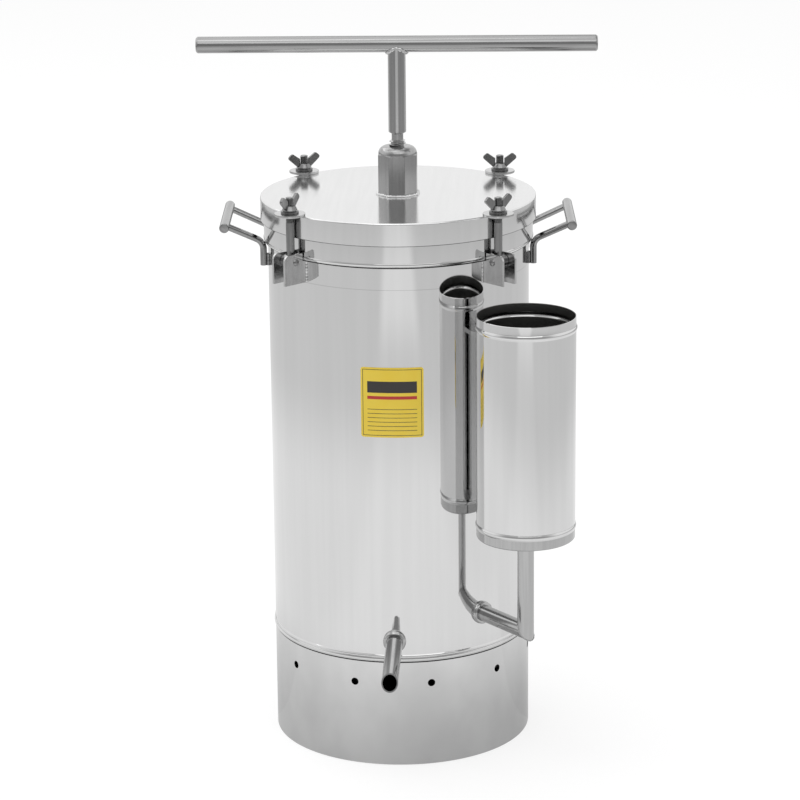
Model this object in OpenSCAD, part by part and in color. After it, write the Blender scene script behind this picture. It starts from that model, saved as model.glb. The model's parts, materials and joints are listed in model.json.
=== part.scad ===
/* [Shell] */
// Outside diameter of the shell
shell_d = 318; // [280:1:380]
// Sheet thickness of the shell, skirt, collar and inner wall
sheet_t = 1.2; // [0.8:0.1:2]
// Height of the shell from the skirt to its rim
shell_h = 539.5; // [480:0.5:700]
// Height of the rolled hem at the foot of the shell
hem_h = 8.5; // [4:0.5:14]
// How far the rolled hem stands out
hem_proud = 1.7; // [0.5:0.1:3]
// Gap round sheet pieces that slip into each other
slip_gap = 0.2; // [0.1:0.05:0.4]

/* [Skirt] */
// Height of the skirt
skirt_h = 134.5; // [100:0.5:200]
// Width of the ledge inside the skirt's top
skirt_flange_w = 14; // [6:1:30]
// Width of the foot inside the skirt
foot_flange_w = 12; // [6:1:30]
// Number of air holes
vent_count = 10; // [2:1:10]
// Diameter of an air hole
vent_d = 9.3; // [5:0.1:16]
// Depth of the air holes below the skirt's top
vent_drop = 29.2; // [15:0.1:60]
// Angle between neighbouring air holes
vent_step = 34.2; // [15:0.1:36]
// Angle by which the row of air holes is turned from the spout
vent_turn = -1; // [-10:0.5:10]

/* [Rim] */
// How far the collar stands out from the shell
collar_proud = 4.75; // [2:0.05:8]
// Height of the collar from the middle of its bead to the rim
collar_h = 45; // [38:1:70]
// Diameter of the rolled bead at the foot of the collar
bead_d = 6.4; // [4:0.1:9]
// How far the bead stands out from the collar
bead_proud = 0.65; // [0:0.05:1.5]
// Thickness of the lid gasket
gasket_t = 3.3; // [2:0.1:6]
// Width of the lid gasket
gasket_w = 14; // [6:0.5:18]

/* [Inner vessel] */
// Thickness of the boiler floor
boiler_floor_t = 2; // [1:0.1:4]
// Height of the inner floor above the skirt's top
inner_floor_rise = 15.5; // [8:0.5:40]
// Thickness of the inner floor
inner_floor_t = 1.5; // [1:0.1:4]
// Width of the water jacket between the shell and the inner wall
jacket_w = 15.8; // [10:0.2:25]
// Number of steam holes near the top of the inner wall
steam_hole_count = 16; // [6:1:24]
// Diameter of a steam hole
steam_hole_d = 10; // [5:0.5:16]
// Depth of the steam holes below the rim
steam_hole_drop = 24; // [12:1:60]

/* [Basket] */
// Gap between the inner wall and the basket
basket_gap = 7.8; // [4:0.2:20]
// Sheet thickness of the basket
basket_t = 1.5; // [1:0.1:3]
// Height of the basket's wall
basket_h = 430; // [340:1:460]
// Height of the ring that the basket stands on
stand_h = 13.5; // [8:0.5:30]
// Width of the ring that the basket stands on
stand_w = 6; // [3:0.5:15]
// How far the ring lies inside the basket's edge
stand_inset = 12; // [4:1:40]
// Number of drain notches in the ring
stand_notches = 8; // [3:1:12]
// Width of a drain notch
notch_w = 24; // [8:1:40]
// Height of a drain notch
notch_h = 8; // [3:0.5:8]
// Number of slot columns round the basket
slot_columns = 20; // [8:1:28]
// Number of slot rows up the basket
slot_rows = 5; // [2:1:5]
// Width of a slot
slot_w = 4; // [2:0.5:8]
// Height of a slot
slot_h = 66; // [20:1:66]
// Diameter of a drain hole in the basket's floor and the press plate
drain_d = 9; // [4:0.5:12]
// Distance between rings of drain holes
drain_ring_step = 26; // [20:1:40]

/* [Spout] */
// Outside diameter of the spout
spout_d = 20; // [14:0.5:28]
// Inside diameter of the spout
spout_bore = 17; // [10:0.5:24]
// Length of the spout from the shell to the middle of its cut end
spout_l = 103; // [60:1:160]
// Downward slope of the spout
spout_slope = 7.7; // [0:0.1:12]
// Angle of the cut end from square
spout_cut = 30.6; // [0:0.1:45]
// Height of the spout's mouth above the inner floor
spout_lift = 1.5; // [0.5:0.1:10]
// Outside diameter of the collar rings on the shell
ring_d = 28; // [24:0.5:40]
// How far the collar rings stand out from the shell
ring_proud = 5; // [2:0.5:10]

/* [Filler] */
// Angle of the filler round the shell from the spout
filler_az = 41; // [35:1:60]
// Outside diameter of the filler pipes
pipe_d = 20; // [14:0.5:26]
// Inside diameter of the filler pipes
pipe_bore = 17; // [10:0.5:23]
// Height of the lower filler pipe above the skirt's top
feed_rise = 50.5; // [35:0.5:90]
// Height of the cup's foot above the lower filler pipe
riser_h = 119.7; // [60:0.1:180]
// Outside diameter of the cup
cup_d = 117.2; // [80:0.2:140]
// Sheet thickness of the cup
cup_t = 1; // [0.8:0.1:2]
// Height of the cup
cup_h = 270.6; // [200:0.2:300]
// Height of the band of the cup's base
cup_base_h = 11.8; // [6:0.2:20]
// Thickness of the cup's base
cup_base_t = 1.2; // [0.8:0.1:3]
// Gap between the shell and the cup
cup_gap = 24.4; // [18:0.2:60]
// Height of the rolled beads on the cup
cup_bead_h = 7.5; // [4:0.5:12]
// How far the cup's beads stand out
cup_bead_proud = 1.3; // [0.4:0.1:3]
// Depth of the upper bead below the cup's rim
cup_bead_drop = 13.5; // [8:0.5:40]
// Depth of the stay below the cup's rim
stay_drop = 36; // [26:1:120]
// Width of the stay
stay_w = 30; // [10:1:50]
// Thickness of the stay
stay_t = 6; // [2:0.5:12]

/* [Handles] */
// Angle by which the handles are turned from the spout
handle_turn = 3; // [-5:0.5:5]
// How far the grips stand out from the shell
grip_reach = 50; // [40:0.5:80]
// Depth of the grips below the rim
grip_drop = 24; // [10:0.5:30]
// Length of a grip
grip_l = 130; // [110:1:180]
// Diameter of a grip
grip_d = 12; // [8:0.5:20]
// Distance by which the handles sit behind the middle of the shell
handle_back = 11.5; // [0:0.5:15]
// Diameter of the handle wires
wire_d = 7.5; // [4:0.5:8]
// Distance from a grip's end to its wire
wire_inset = 16; // [8:0.5:30]
// How far each wire draws in towards the other at the shell
wire_draw = 8; // [0:0.5:15]
// Height of a wire's corner below its grip
wire_corner_drop = 22; // [16:0.5:30]
// Bend radius of the wires
wire_bend_r = 14; // [8:0.5:18]
// Gap between the shell and the wire legs
leg_gap = 3.25; // [1:0.25:8]
// Length of the wire legs below their corner
wire_leg = 29; // [24:0.5:50]
// Height of the weld that joins a wire leg to the shell
leg_weld_h = 14; // [6:0.5:16]

/* [Lid] */
// Thickness of the lid
lid_t = 1.5; // [1:0.1:4]
// Gap between the collar and the lid's band
lid_gap = 2.55; // [1:0.05:5]
// Height of the lid's band
lid_band_h = 28; // [15:0.5:35]
// Radius of the lid's upper edge
lid_edge_r = 2; // [1.5:0.1:4]

/* [Press] */
// Number of flats of the press nut
nut_sides = 8; // [6:2:12]
// Distance between two flats of the press nut
nut_af = 46.5; // [40:0.5:60]
// Height of the press nut above the lid
nut_h = 59; // [40:0.5:80]
// Height of the rounded top of the press nut
nut_round_h = 9; // [3:0.5:12]
// How far the rounded top draws in
nut_round_in = 9; // [2:0.5:9]
// Height over which the corners are turned off below the rounded top
nut_lead = 1.5; // [0.5:0.5:5]
// Size of the weld round the foot of the press nut
nut_weld = 2.5; // [1:0.5:8]
// Diameter of the press screw
screw_d = 20; // [16:0.5:28]
// Running gap round screws and pins
run_gap = 0.05; // [0.02:0.01:0.1]
// Thread left above the nut as the press stands
screw_shown = 7; // [2:0.5:30]
// Diameter of the neck above the thread
neck_d = 14; // [10:0.5:16]
// Height of the neck above the thread
neck_h = 8; // [3:0.5:20]
// Distance between two flats of the handle's stem
stem_af = 21; // [17:0.5:30]
// Length of the stem up to the middle of the bar
stem_l = 109; // [60:1:160]
// Height of the tapered foot of the stem
stem_taper = 3; // [1:0.5:6]
// Diameter of the handle bar
bar_d = 20; // [14:0.5:30]
// Length of the handle bar
bar_l = 482; // [300:1:600]
// Size of the rounding at the bar's ends
bar_round = 3; // [1:0.5:6]
// Angle by which the handle bar is turned as the press stands
bar_turn = 2; // [-30:1:30]
// Height of the press plate above the basket's floor as the press stands
cake_h = 131; // [60:1:180]
// Gap between the press plate and the basket
plate_gap = 3.5; // [1:0.5:10]
// Thickness of the press plate
plate_t = 6; // [3:0.5:12]
// Height of the press plate's ribs
rib_h = 22; // [8:1:28]
// Thickness of the press plate's ribs
rib_t = 5; // [3:0.5:10]
// Number of the press plate's ribs
rib_count = 6; // [3:1:8]
// Diameter of the hub on the press plate
hub_d = 50; // [36:1:60]
// Height of the hub on the press plate
hub_h = 30; // [29:1:50]
// Diameter of the screw's pivot in the hub
pivot_d = 14; // [12:0.5:15]
// Outside diameter of the thrust and retaining washers
seat_washer_d = 34; // [24:1:36]
// Thickness of the thrust washer
thrust_t = 3; // [2:0.5:5]
// Thickness of the retaining washer
retainer_t = 4; // [2:0.5:6]
// End play of the press plate on the screw
end_play = 0.3; // [0.1:0.1:0.6]
// Diameter of the retaining bolt
retainer_bolt_d = 8; // [5:1:9]
// Length of the retaining bolt in the screw
retainer_bolt_l = 20; // [10:1:28]
// Distance between two flats of the retaining bolt's head
retainer_head_af = 13; // [10:1:18]
// Height of the retaining bolt's head
retainer_head_h = 5.3; // [3:0.1:8]

/* [Clamps] */
// Angle by which the clamps are turned from the spout
clamp_turn = 1; // [-5:0.5:5]
// Diameter of the swing bolts
rod_d = 10; // [6:0.5:11]
// Gap between the lid's band and a swing bolt
rod_gap = 1; // [0.5:0.25:6]
// How far a swing bolt reaches above the lid
rod_top = 22; // [20:0.5:32]
// Depth of the clamp pins below the rim
pin_drop = 49; // [46:0.5:60]
// How far a clamp pin lies outside its swing bolt
pin_offset = 1.5; // [0:0.1:2]
// Diameter of a clamp pin
pin_d = 6; // [4:0.5:8]
// Diameter of the heads of a clamp pin
pin_head_d = 8.4; // [8.1:0.1:12]
// Height of the heads of a clamp pin
pin_head_h = 2; // [1:0.5:4]
// Diameter of the eye of a swing bolt
eye_d = 16; // [13:0.5:17]
// Gap between the two cheeks of a bracket
cheek_gap = 17; // [12:0.5:20]
// Thickness of a bracket's cheeks
cheek_t = 3; // [2:0.5:4]
// How far a cheek reaches outside its pin
cheek_out = 17.5; // [12:0.5:24]
// How far a cheek reaches above its pin
cheek_up = 10; // [9.5:0.5:16]
// How far a cheek reaches below its pin
cheek_down = 26.5; // [16:0.5:32]
// Radius of a cheek's outer upper corner
cheek_round = 7; // [2:0.5:8]
// Height of the web between the cheeks
web_h = 16; // [6:1:16]
// Diameter of a clamp disc
disc_d = 37; // [28:0.5:42]
// Thickness of a clamp disc
disc_t = 3; // [2:0.5:5]
// Gap between the lid and a clamp disc that rests on it
seat_gap = 0.05; // [0.02:0.01:0.2]
// Gap round the bolt in the clamp disc and the nut washer
disc_gap = 0.3; // [0.2:0.05:0.6]
// Outside diameter of a nut washer
washer_d = 21.5; // [17:0.5:26]
// Thickness of a nut washer
washer_t = 2.5; // [1:0.1:4]
// Diameter of a wing nut's foot
wing_foot_d = 18.5; // [14:0.5:21]
// Diameter of a wing nut's top
wing_top_d = 14.5; // [12:0.5:17]
// Height of a wing nut's hub
wing_hub_h = 6.5; // [5:0.5:14]
// Span of the wings
wing_span = 44; // [34:1:54]
// Height of the wings above the nut's foot
wing_h = 20; // [14:0.5:28]
// Width of a wing
wing_w = 9; // [6:0.5:11]
// Height at which the wings' inner edges would meet
wing_seat = 8; // [5:0.5:12]
// Thickness of a wing
wing_t = 3.4; // [2:0.2:5]
// Angles at which the wing nuts stand
wing_turns = [65, 44, 4, 28]; // [-90:1:90]

/* [Label] */
// Width of the label round the shell
label_w = 75; // [30:1:120]
// Height of the label
label_h = 86; // [30:1:120]
// Thickness of the label
label_t = 0.3; // [0.2:0.1:1]
// Depth of the label's middle below the rim
label_drop = 213; // [160:1:260]

/* [Hidden] */
$fn = 96;

// Clamps run round from the front left: front left, front right, back right, back left
front_left = 0;
front_right = 1;
back_right = 2;
back_left = 3;
clamp_count = 4;
clamp_az = [for (i = [0:clamp_count - 1]) -45 + 90 * i + clamp_turn];

// Radii, from the shell inwards and outwards
shell_r = shell_d / 2;
shell_ri = shell_r - sheet_t;
inner_r = shell_ri - jacket_w;
inner_ri = inner_r - sheet_t;
basket_r = inner_ri - basket_gap;
basket_ri = basket_r - basket_t;
plate_r = basket_ri - plate_gap;
stand_r = basket_r - stand_inset;
collar_r = shell_r + collar_proud;
bead_mid_r = collar_r + bead_proud - bead_d / 2;
lid_ri = collar_r + lid_gap;
lid_r = lid_ri + sheet_t;
rod_r = lid_r + rod_gap + rod_d / 2;
pin_r = rod_r + pin_offset;
cup_r = cup_d / 2;
cup_ri = cup_r - cup_t;
cup_axis_r = shell_r + cup_gap + cup_r;
grip_x = shell_r + grip_reach;
leg_r = shell_r + leg_gap + wire_d / 2;

// Heights, from the floor up
rim_z = skirt_h + shell_h;
bead_z = rim_z - collar_h;
flange_top = rim_z + sheet_t;
lid_under = flange_top + gasket_t;
lid_top = lid_under + lid_t;
inner_floor_z = skirt_h + inner_floor_rise;
inner_floor_top = inner_floor_z + inner_floor_t;
basket_floor_z = inner_floor_top + stand_h;
basket_floor_top = basket_floor_z + basket_t;
plate_z = basket_floor_top + cake_h;
plate_top = plate_z + plate_t;
hub_top = plate_top + hub_h;
shoulder_z = hub_top + thrust_t;
pivot_end = plate_z - end_play;
nut_top = lid_top + nut_h;
thread_top = nut_top + screw_shown;
stem_foot = thread_top + neck_h;
bar_z = stem_foot + stem_l;
spout_mouth_z = inner_floor_top + spout_lift + spout_d / 2;
feed_z = skirt_h + feed_rise;
cup_z = feed_z + riser_h;
cup_wall_z = cup_z + cup_base_h;
cup_top = cup_z + cup_h;
stay_z = cup_top - stay_drop;
grip_z = rim_z - grip_drop;
corner_z = grip_z - wire_corner_drop;
leg_foot = corner_z - wire_leg;
pin_z = rim_z - pin_drop;
disc_foot = lid_top + seat_gap;
disc_top = disc_foot + disc_t;
washer_top = disc_top + washer_t;
rod_end = lid_top + rod_top;
label_z = rim_z - label_drop;
steam_z = rim_z - steam_hole_drop;

// Small working sizes
overlap = 1;
cut = 60;
spout_wall = (shell_r - inner_ri) / cos(spout_slope);
spout_inside = 2;
feed_inside = 4;
arc_steps = 8;
bend_steps = 4;
knuckle_proud = 0.05;
fine = 720;
hex_sides = 6;
edge_break = 1;
drain_margin = 10;
wing_root = 4.5;

// A round swelling on an upright wall: radius, foot, height, how far it stands out
function swelling(r, z, h, proud) =
    [for (i = [0:arc_steps]) [r + proud * sin(180 * i / arc_steps), z + h * i / arc_steps]];

// Distance across the corners of a bar with flats
function over_corners(af, sides) = af / cos(180 / sides);

// Points on an arc: middle, radius, first and last angle
function arc(mid, r, from, to) =
    [for (i = [0:arc_steps]) let (a = from + (to - from) * i / arc_steps) mid + r * [cos(a), sin(a)]];

// Direction from the axis, turned from the front towards the right
module at_az(az) {
    rotate([0, 0, az]) children();
}

module tube(r_out, r_in, foot, top) {
    difference() {
        translate([0, 0, foot]) cylinder(r = r_out, h = top - foot);
        translate([0, 0, foot - overlap]) cylinder(r = r_in, h = top - foot + 2 * overlap);
    }
}

// All that lies inside the outer face of the shell
module shell_space() {
    cylinder(r = shell_r, h = rim_z, $fn = fine);
}

// The room taken by the collar and its bead
module collar_space() {
    translate([0, 0, bead_z]) cylinder(r = collar_r + slip_gap, h = collar_h, $fn = fine);
    rotate_extrude($fn = fine) translate([bead_mid_r, bead_z]) circle(r = bead_d / 2 + slip_gap);
}

module disc(r, foot, thickness) {
    translate([0, 0, foot]) cylinder(r = r, h = thickness);
}

// A rod that points straight out of the front of the shell
module outward_rod(r, from, to, z) {
    translate([0, -from, z]) rotate([90, 0, 0]) cylinder(r = r, h = to - from);
}

// A rod across the front, with its middle on the centre plane
module cross_rod(r, width, y, z) {
    translate([-width / 2, y, z]) rotate([0, 90, 0]) cylinder(r = r, h = width);
}

// The spout's own axis, starting at the inner wall
module on_spout() {
    translate([0, -inner_ri, spout_mouth_z]) rotate([90 + spout_slope, 0, 0]) children();
}

module spout_space(r, from, to) {
    on_spout() translate([0, 0, from]) cylinder(r = r, h = to - from);
}

// Rings of drain holes between two radii
module drain_holes(first_r, last_r, foot, thickness) {
    for (r = [first_r:drain_ring_step:last_r]) {
        count = floor(2 * PI * r / drain_ring_step);
        for (i = [0:count - 1]) {
            at_az(360 * i / count) translate([0, -r, foot - overlap])
                cylinder(d = drain_d, h = thickness + 2 * overlap, $fn = 24);
        }
    }
}

module outer_shell() {
    color("gainsboro") difference() {
        rotate_extrude() polygon(concat(
            [[shell_ri, skirt_h]],
            swelling(shell_r, skirt_h, hem_h, hem_proud),
            [[shell_r, rim_z], [shell_ri, rim_z]]
        ));
        spout_space(spout_d / 2 + slip_gap, overlap, spout_wall + spout_d);
        at_az(filler_az) outward_rod(pipe_d / 2 + slip_gap, shell_ri - cut / 2, shell_r + cut / 2, feed_z);
    }
}

module base_skirt() {
    color("silver") difference() {
        tube(shell_r, shell_ri, 0, skirt_h);
        for (i = [0:vent_count - 1]) {
            at_az((i - (vent_count - 1) / 2) * vent_step + vent_turn)
                outward_rod(vent_d / 2, shell_ri - cut / 2, shell_r + cut / 2, skirt_h - vent_drop);
        }
    }
}

// The flat ring inside the skirt's foot
module skirt_foot() {
    color("silver") tube(shell_ri - slip_gap, shell_r - foot_flange_w, 0, sheet_t);
}

// The flat ring inside the skirt's top, which carries the boiler floor
module skirt_ledge() {
    color("silver") tube(shell_ri - slip_gap, shell_r - skirt_flange_w, skirt_h - sheet_t, skirt_h);
}

module boiler_floor() {
    color("silver") disc(shell_ri - slip_gap, skirt_h, boiler_floor_t);
}

// A band round the top of the shell, with a rolled bead at its foot
module rim_collar() {
    bead_r = bead_d / 2;
    bead_end = acos((collar_r - bead_mid_r) / bead_r);
    bead_top = bead_z + bead_r;
    color("gainsboro") rotate_extrude() polygon(concat(
        [[shell_r, bead_z - bead_r]],
        arc([bead_mid_r, bead_z], bead_r, -90, bead_end),
        [
            [collar_r, rim_z], [shell_r, rim_z], [shell_r, rim_z - sheet_t],
            [collar_r - sheet_t, rim_z - sheet_t], [collar_r - sheet_t, bead_top], [shell_r, bead_top]
        ]
    ));
}

// The seat of the gasket, which closes the water jacket
module rim_flange() {
    color("silver") tube(collar_r, inner_ri, rim_z, flange_top);
}

module inner_wall() {
    color("silver") difference() {
        tube(inner_r, inner_ri, inner_floor_top, rim_z);
        spout_space(spout_d / 2 + slip_gap, -spout_d, spout_wall - overlap);
        for (i = [0:steam_hole_count - 1]) {
            at_az(360 * (i + 0.5) / steam_hole_count)
                outward_rod(steam_hole_d / 2, inner_ri - cut / 4, inner_r + jacket_w / 2, steam_z);
        }
    }
}

module inner_floor() {
    color("silver") disc(inner_r, inner_floor_z, inner_floor_t);
}

module basket_stand() {
    color("silver") difference() {
        tube(stand_r, stand_r - stand_w, inner_floor_top, basket_floor_z);
        for (i = [0:stand_notches - 1]) {
            at_az(360 * i / stand_notches)
                translate([-notch_w / 2, -stand_r - overlap, inner_floor_top - overlap])
                cube([notch_w, stand_w + cut / 4, notch_h + overlap]);
        }
    }
}

module basket_floor() {
    color("silver") difference() {
        disc(basket_r, basket_floor_z, basket_t);
        drain_holes(drain_ring_step, stand_r - stand_w - drain_margin, basket_floor_z, basket_t);
    }
}

module basket_wall() {
    row_step = basket_h / slot_rows;
    slot_foot = basket_floor_top + (row_step - slot_h) / 2;
    color("silver") difference() {
        tube(basket_r, basket_ri, basket_floor_top, basket_floor_top + basket_h);
        for (row = [0:slot_rows - 1]) {
            for (i = [0:slot_columns - 1]) {
                at_az(360 * (i + row / 2) / slot_columns)
                    translate([-slot_w / 2, -basket_r - overlap, slot_foot + row * row_step])
                    cube([slot_w, cut / 4, slot_h]);
            }
        }
    }
}

module spout_tube() {
    end = spout_wall + spout_l;
    color("darkgray") on_spout() difference() {
        translate([0, 0, -spout_inside]) cylinder(d = spout_d, h = end + spout_d + spout_inside);
        translate([0, 0, -spout_inside - overlap])
            cylinder(d = spout_bore, h = end + 2 * spout_d + spout_inside);
        translate([0, 0, end]) rotate([-spout_cut, 0, 0]) translate([-cut, -cut, 0]) cube(2 * cut);
    }
}

// A ring with a rounded outer edge, round a pipe that leaves the shell
module wall_ring(pipe_r, from, to) {
    ring_r = ring_d / 2;
    round_r = ring_r - pipe_r;
    translate([0, 0, from]) rotate_extrude() polygon(concat(
        [[pipe_r, 0], [ring_r, 0]],
        arc([ring_r - round_r, to - from - round_r], round_r, 0, 90)
    ));
}

module spout_collar() {
    color("gainsboro") difference() {
        on_spout() wall_ring(spout_d / 2 + slip_gap, spout_wall - ring_proud, spout_wall + ring_proud);
        shell_space();
    }
}

module at_filler() {
    at_az(filler_az) children();
}

module cup_axis() {
    at_filler() translate([0, -cup_axis_r, 0]) children();
}

module filler_cup() {
    bead_foot = cup_top - cup_bead_drop - cup_bead_h / 2;
    color("gainsboro") cup_axis() rotate_extrude() polygon(concat(
        [[cup_ri, cup_wall_z]],
        swelling(cup_r, cup_wall_z, cup_bead_h, cup_bead_proud),
        swelling(cup_r, bead_foot, cup_bead_h, cup_bead_proud),
        [[cup_r, cup_top], [cup_ri, cup_top]]
    ));
}

module filler_cup_base() {
    color("darkgray") cup_axis() difference() {
        disc(cup_r, cup_z, cup_base_h);
        translate([0, 0, cup_z + cup_base_t]) cylinder(r = cup_ri, h = cup_base_h);
        translate([0, 0, cup_z - overlap]) cylinder(r = pipe_d / 2 + slip_gap, h = cup_base_h);
    }
}

// Everything on the outer side of the mitre between the two filler pipes
module beyond_mitre() {
    translate([0, -cup_axis_r, feed_z]) rotate([45, 0, 0]) translate([-cut, -cut, 0]) cube(2 * cut);
}

module filler_riser() {
    foot = feed_z - pipe_d;
    color("darkgray") at_filler() intersection() {
        translate([0, -cup_axis_r, 0]) tube(pipe_d / 2, pipe_bore / 2, foot, cup_z + cup_base_t);
        union() {
            beyond_mitre();
            translate([-cut, -cup_axis_r - cut, feed_z + pipe_d]) cube([2 * cut, 2 * cut, riser_h]);
        }
    }
}

module filler_feed() {
    color("darkgray") at_filler() difference() {
        outward_rod(pipe_d / 2, shell_ri - feed_inside, cup_axis_r + pipe_d, feed_z);
        outward_rod(pipe_bore / 2, shell_ri - feed_inside - overlap, cup_axis_r + 2 * pipe_d, feed_z);
        beyond_mitre();
    }
}

module filler_collar() {
    color("gainsboro") at_filler() difference() {
        translate([0, 0, feed_z]) rotate([90, 0, 0])
            wall_ring(pipe_d / 2 + slip_gap, shell_r - ring_proud, shell_r + ring_proud);
        shell_space();
    }
}

module filler_stay() {
    color("darkgray") at_filler() difference() {
        translate([-stay_w / 2, -cup_axis_r, stay_z - stay_t / 2])
            cube([stay_w, cup_axis_r - shell_r / 2, stay_t]);
        shell_space();
        translate([0, -cup_axis_r, stay_z - cut]) cylinder(r = cup_r, h = 2 * cut, $fn = fine);
    }
}

module label_plate() {
    label_a = label_w / shell_r * 180 / PI;
    color("gold") rotate([0, 0, -90 - label_a / 2]) rotate_extrude(angle = label_a)
        translate([shell_r + slip_gap, label_z - label_h / 2]) square([label_t, label_h]);
}

// A grip is a round bar with broken edges; side is -1 on the left and 1 on the right
module handle_grip(side) {
    color("silver") at_az(handle_turn) translate([side * grip_x, handle_back + grip_l / 2, grip_z])
        rotate([90, 0, 0]) rotate_extrude() polygon([
            [0, 0], [grip_d / 2 - edge_break, 0], [grip_d / 2, edge_break],
            [grip_d / 2, grip_l - edge_break], [grip_d / 2 - edge_break, grip_l], [0, grip_l]
        ]);
}

// A straight piece of wire between two points of its upright plane
module wire_piece(from, to) {
    way = to - from;
    translate([from[0], 0, from[1]]) rotate([0, 90 - atan2(way[1], way[0]), 0])
        cylinder(d = wire_d, h = norm(way), $fn = 48);
}

// One wire: an upright leg, a bend and a straight run out to the grip
module handle_wire(side, end) {
    grip_y = handle_back + end * (grip_l / 2 - wire_inset);
    leg_y = grip_y - end * wire_draw;
    leg_x = side * sqrt(leg_r * leg_r - leg_y * leg_y);
    run = [side * grip_x - leg_x, grip_y - leg_y];
    reach = norm(run);
    turn_a = 90 - atan2(wire_corner_drop, reach);
    setback = wire_bend_r * tan(turn_a / 2);
    knuckle_d = wire_d / cos(turn_a / bend_steps / 2) + knuckle_proud;
    bend_mid = [wire_bend_r, corner_z - setback];
    bend = [for (i = [0:bend_steps]) let (a = 180 - turn_a * i / bend_steps)
        bend_mid + wire_bend_r * [cos(a), sin(a)]];
    path = concat([[0, leg_foot]], bend, [[reach, grip_z]]);
    translate([leg_x, leg_y, 0]) rotate([0, 0, atan2(run[1], run[0])]) {
        for (i = [0:len(path) - 2]) wire_piece(path[i], path[i + 1]);
        for (point = bend) translate([point[0], 0, point[1]]) sphere(d = knuckle_d, $fn = 48);
    }
    rotate([0, 0, atan2(leg_y, leg_x)]) translate([shell_r - sheet_t, -wire_d / 4, leg_foot])
        cube([leg_r - shell_r + sheet_t, wire_d / 2, leg_weld_h]);
}

module handle_wires(side) {
    color("silver") difference() {
        at_az(handle_turn) for (end = [-1, 1]) handle_wire(side, end);
        shell_space();
        collar_space();
        at_az(handle_turn) translate([side * grip_x, handle_back + grip_l / 2, grip_z])
            rotate([90, 0, 0]) cylinder(d = grip_d, h = grip_l);
    }
}

module at_clamp(i) {
    at_az(clamp_az[i]) children();
}

// One cheek of a bracket, drawn outwards and up, with a rounded outer upper corner
module cheek() {
    outer = pin_r + cheek_out;
    top = pin_z + cheek_up;
    foot = pin_z - cheek_down;
    rotate([90, 0, -90]) linear_extrude(cheek_t) polygon(concat(
        [[shell_r - sheet_t, foot], [outer, foot]],
        arc([outer - cheek_round, top - cheek_round], cheek_round, 0, 90),
        [[shell_r - sheet_t, top]]
    ));
}

module clamp_bracket() {
    foot = pin_z - cheek_down;
    difference() {
        union() {
            translate([-cheek_gap / 2, 0, 0]) cheek();
            translate([cheek_gap / 2 + cheek_t, 0, 0]) cheek();
            translate([-cheek_gap / 2 - overlap, -shell_r - cheek_t, foot])
                cube([cheek_gap + 2 * overlap, cheek_t + sheet_t, web_h]);
        }
        shell_space();
        translate([0, 0, bead_z - bead_d / 2 - slip_gap])
            cylinder(r = collar_r + bead_proud + slip_gap, h = collar_h, $fn = fine);
        cross_rod(pin_d / 2, cheek_gap + 4 * cheek_t, -pin_r, pin_z);
    }
}

module clamp_brackets() {
    color("dimgray") for (i = [0:clamp_count - 1]) at_clamp(i) clamp_bracket();
}

module clamp_pins() {
    width = cheek_gap + 2 * cheek_t;
    color("dimgray") for (i = [0:clamp_count - 1]) at_clamp(i) {
        cross_rod(pin_d / 2, width + pin_head_h, -pin_r, pin_z);
        for (side = [-1, 1]) translate([side * (width + pin_head_h) / 2, 0, 0])
            cross_rod(pin_head_d / 2, pin_head_h, -pin_r, pin_z);
    }
}

module lid() {
    color("whitesmoke") rotate_extrude() polygon(concat(
        [
            [screw_d / 2 + overlap, lid_under], [lid_ri, lid_under],
            [lid_ri, lid_top - lid_band_h], [lid_r, lid_top - lid_band_h]
        ],
        arc([lid_r - lid_edge_r, lid_top - lid_edge_r], lid_edge_r, 0, 90),
        [[screw_d / 2 + overlap, lid_top]]
    ));
}

module lid_gasket() {
    gasket_r = collar_r - edge_break;
    color("white") tube(gasket_r, gasket_r - gasket_w, flange_top, lid_under);
}

// An upright bar with flats; two of them face left and right
module flat_bar(af, sides, foot, length) {
    translate([0, 0, foot]) rotate([0, 0, 180 / sides])
        cylinder(d = over_corners(af, sides), h = length, $fn = sides);
}

module press_nut() {
    corner_r = over_corners(nut_af, nut_sides) / 2;
    round_foot = nut_h - nut_round_h;
    color("darkgray") difference() {
        union() {
            intersection() {
                flat_bar(nut_af, nut_sides, lid_top, nut_h);
                translate([0, 0, lid_top]) rotate_extrude() polygon(concat(
                    [[0, 0], [corner_r, 0], [corner_r, round_foot - nut_lead]],
                    [for (i = [0:arc_steps]) let (a = 90 * i / arc_steps)
                        [nut_af / 2 - nut_round_in * (1 - cos(a)), round_foot + nut_round_h * sin(a)]],
                    [[0, nut_h]]
                ));
            }
            translate([0, 0, lid_top])
                cylinder(r1 = corner_r + nut_weld, r2 = corner_r - nut_weld / 2, h = nut_weld);
        }
        translate([0, 0, lid_top - overlap]) cylinder(r = screw_d / 2 + run_gap, h = nut_h + 2 * overlap);
    }
}

module press_plate() {
    color("silver") difference() {
        union() {
            disc(plate_r, plate_z, plate_t);
            for (i = [0:rib_count - 1]) {
                at_az(360 * i / rib_count) translate([-rib_t / 2, -plate_r + drain_ring_step, plate_z])
                    cube([rib_t, plate_r - drain_ring_step, plate_t + rib_h]);
            }
        }
        translate([0, 0, plate_top]) cylinder(d = hub_d + 2 * slip_gap, h = hub_h + rib_h);
        translate([0, 0, plate_z - overlap]) cylinder(r = pivot_d / 2 + disc_gap, h = plate_t + 2 * overlap);
        drain_holes(hub_d / 2 + drain_d, plate_r - drain_d, plate_z, plate_t);
    }
}

module plate_hub() {
    color("darkgray") tube(hub_d / 2, pivot_d / 2 + run_gap, plate_top, hub_top);
}

module thrust_washer() {
    color("goldenrod") tube(seat_washer_d / 2, pivot_d / 2 + disc_gap, hub_top, shoulder_z);
}

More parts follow.
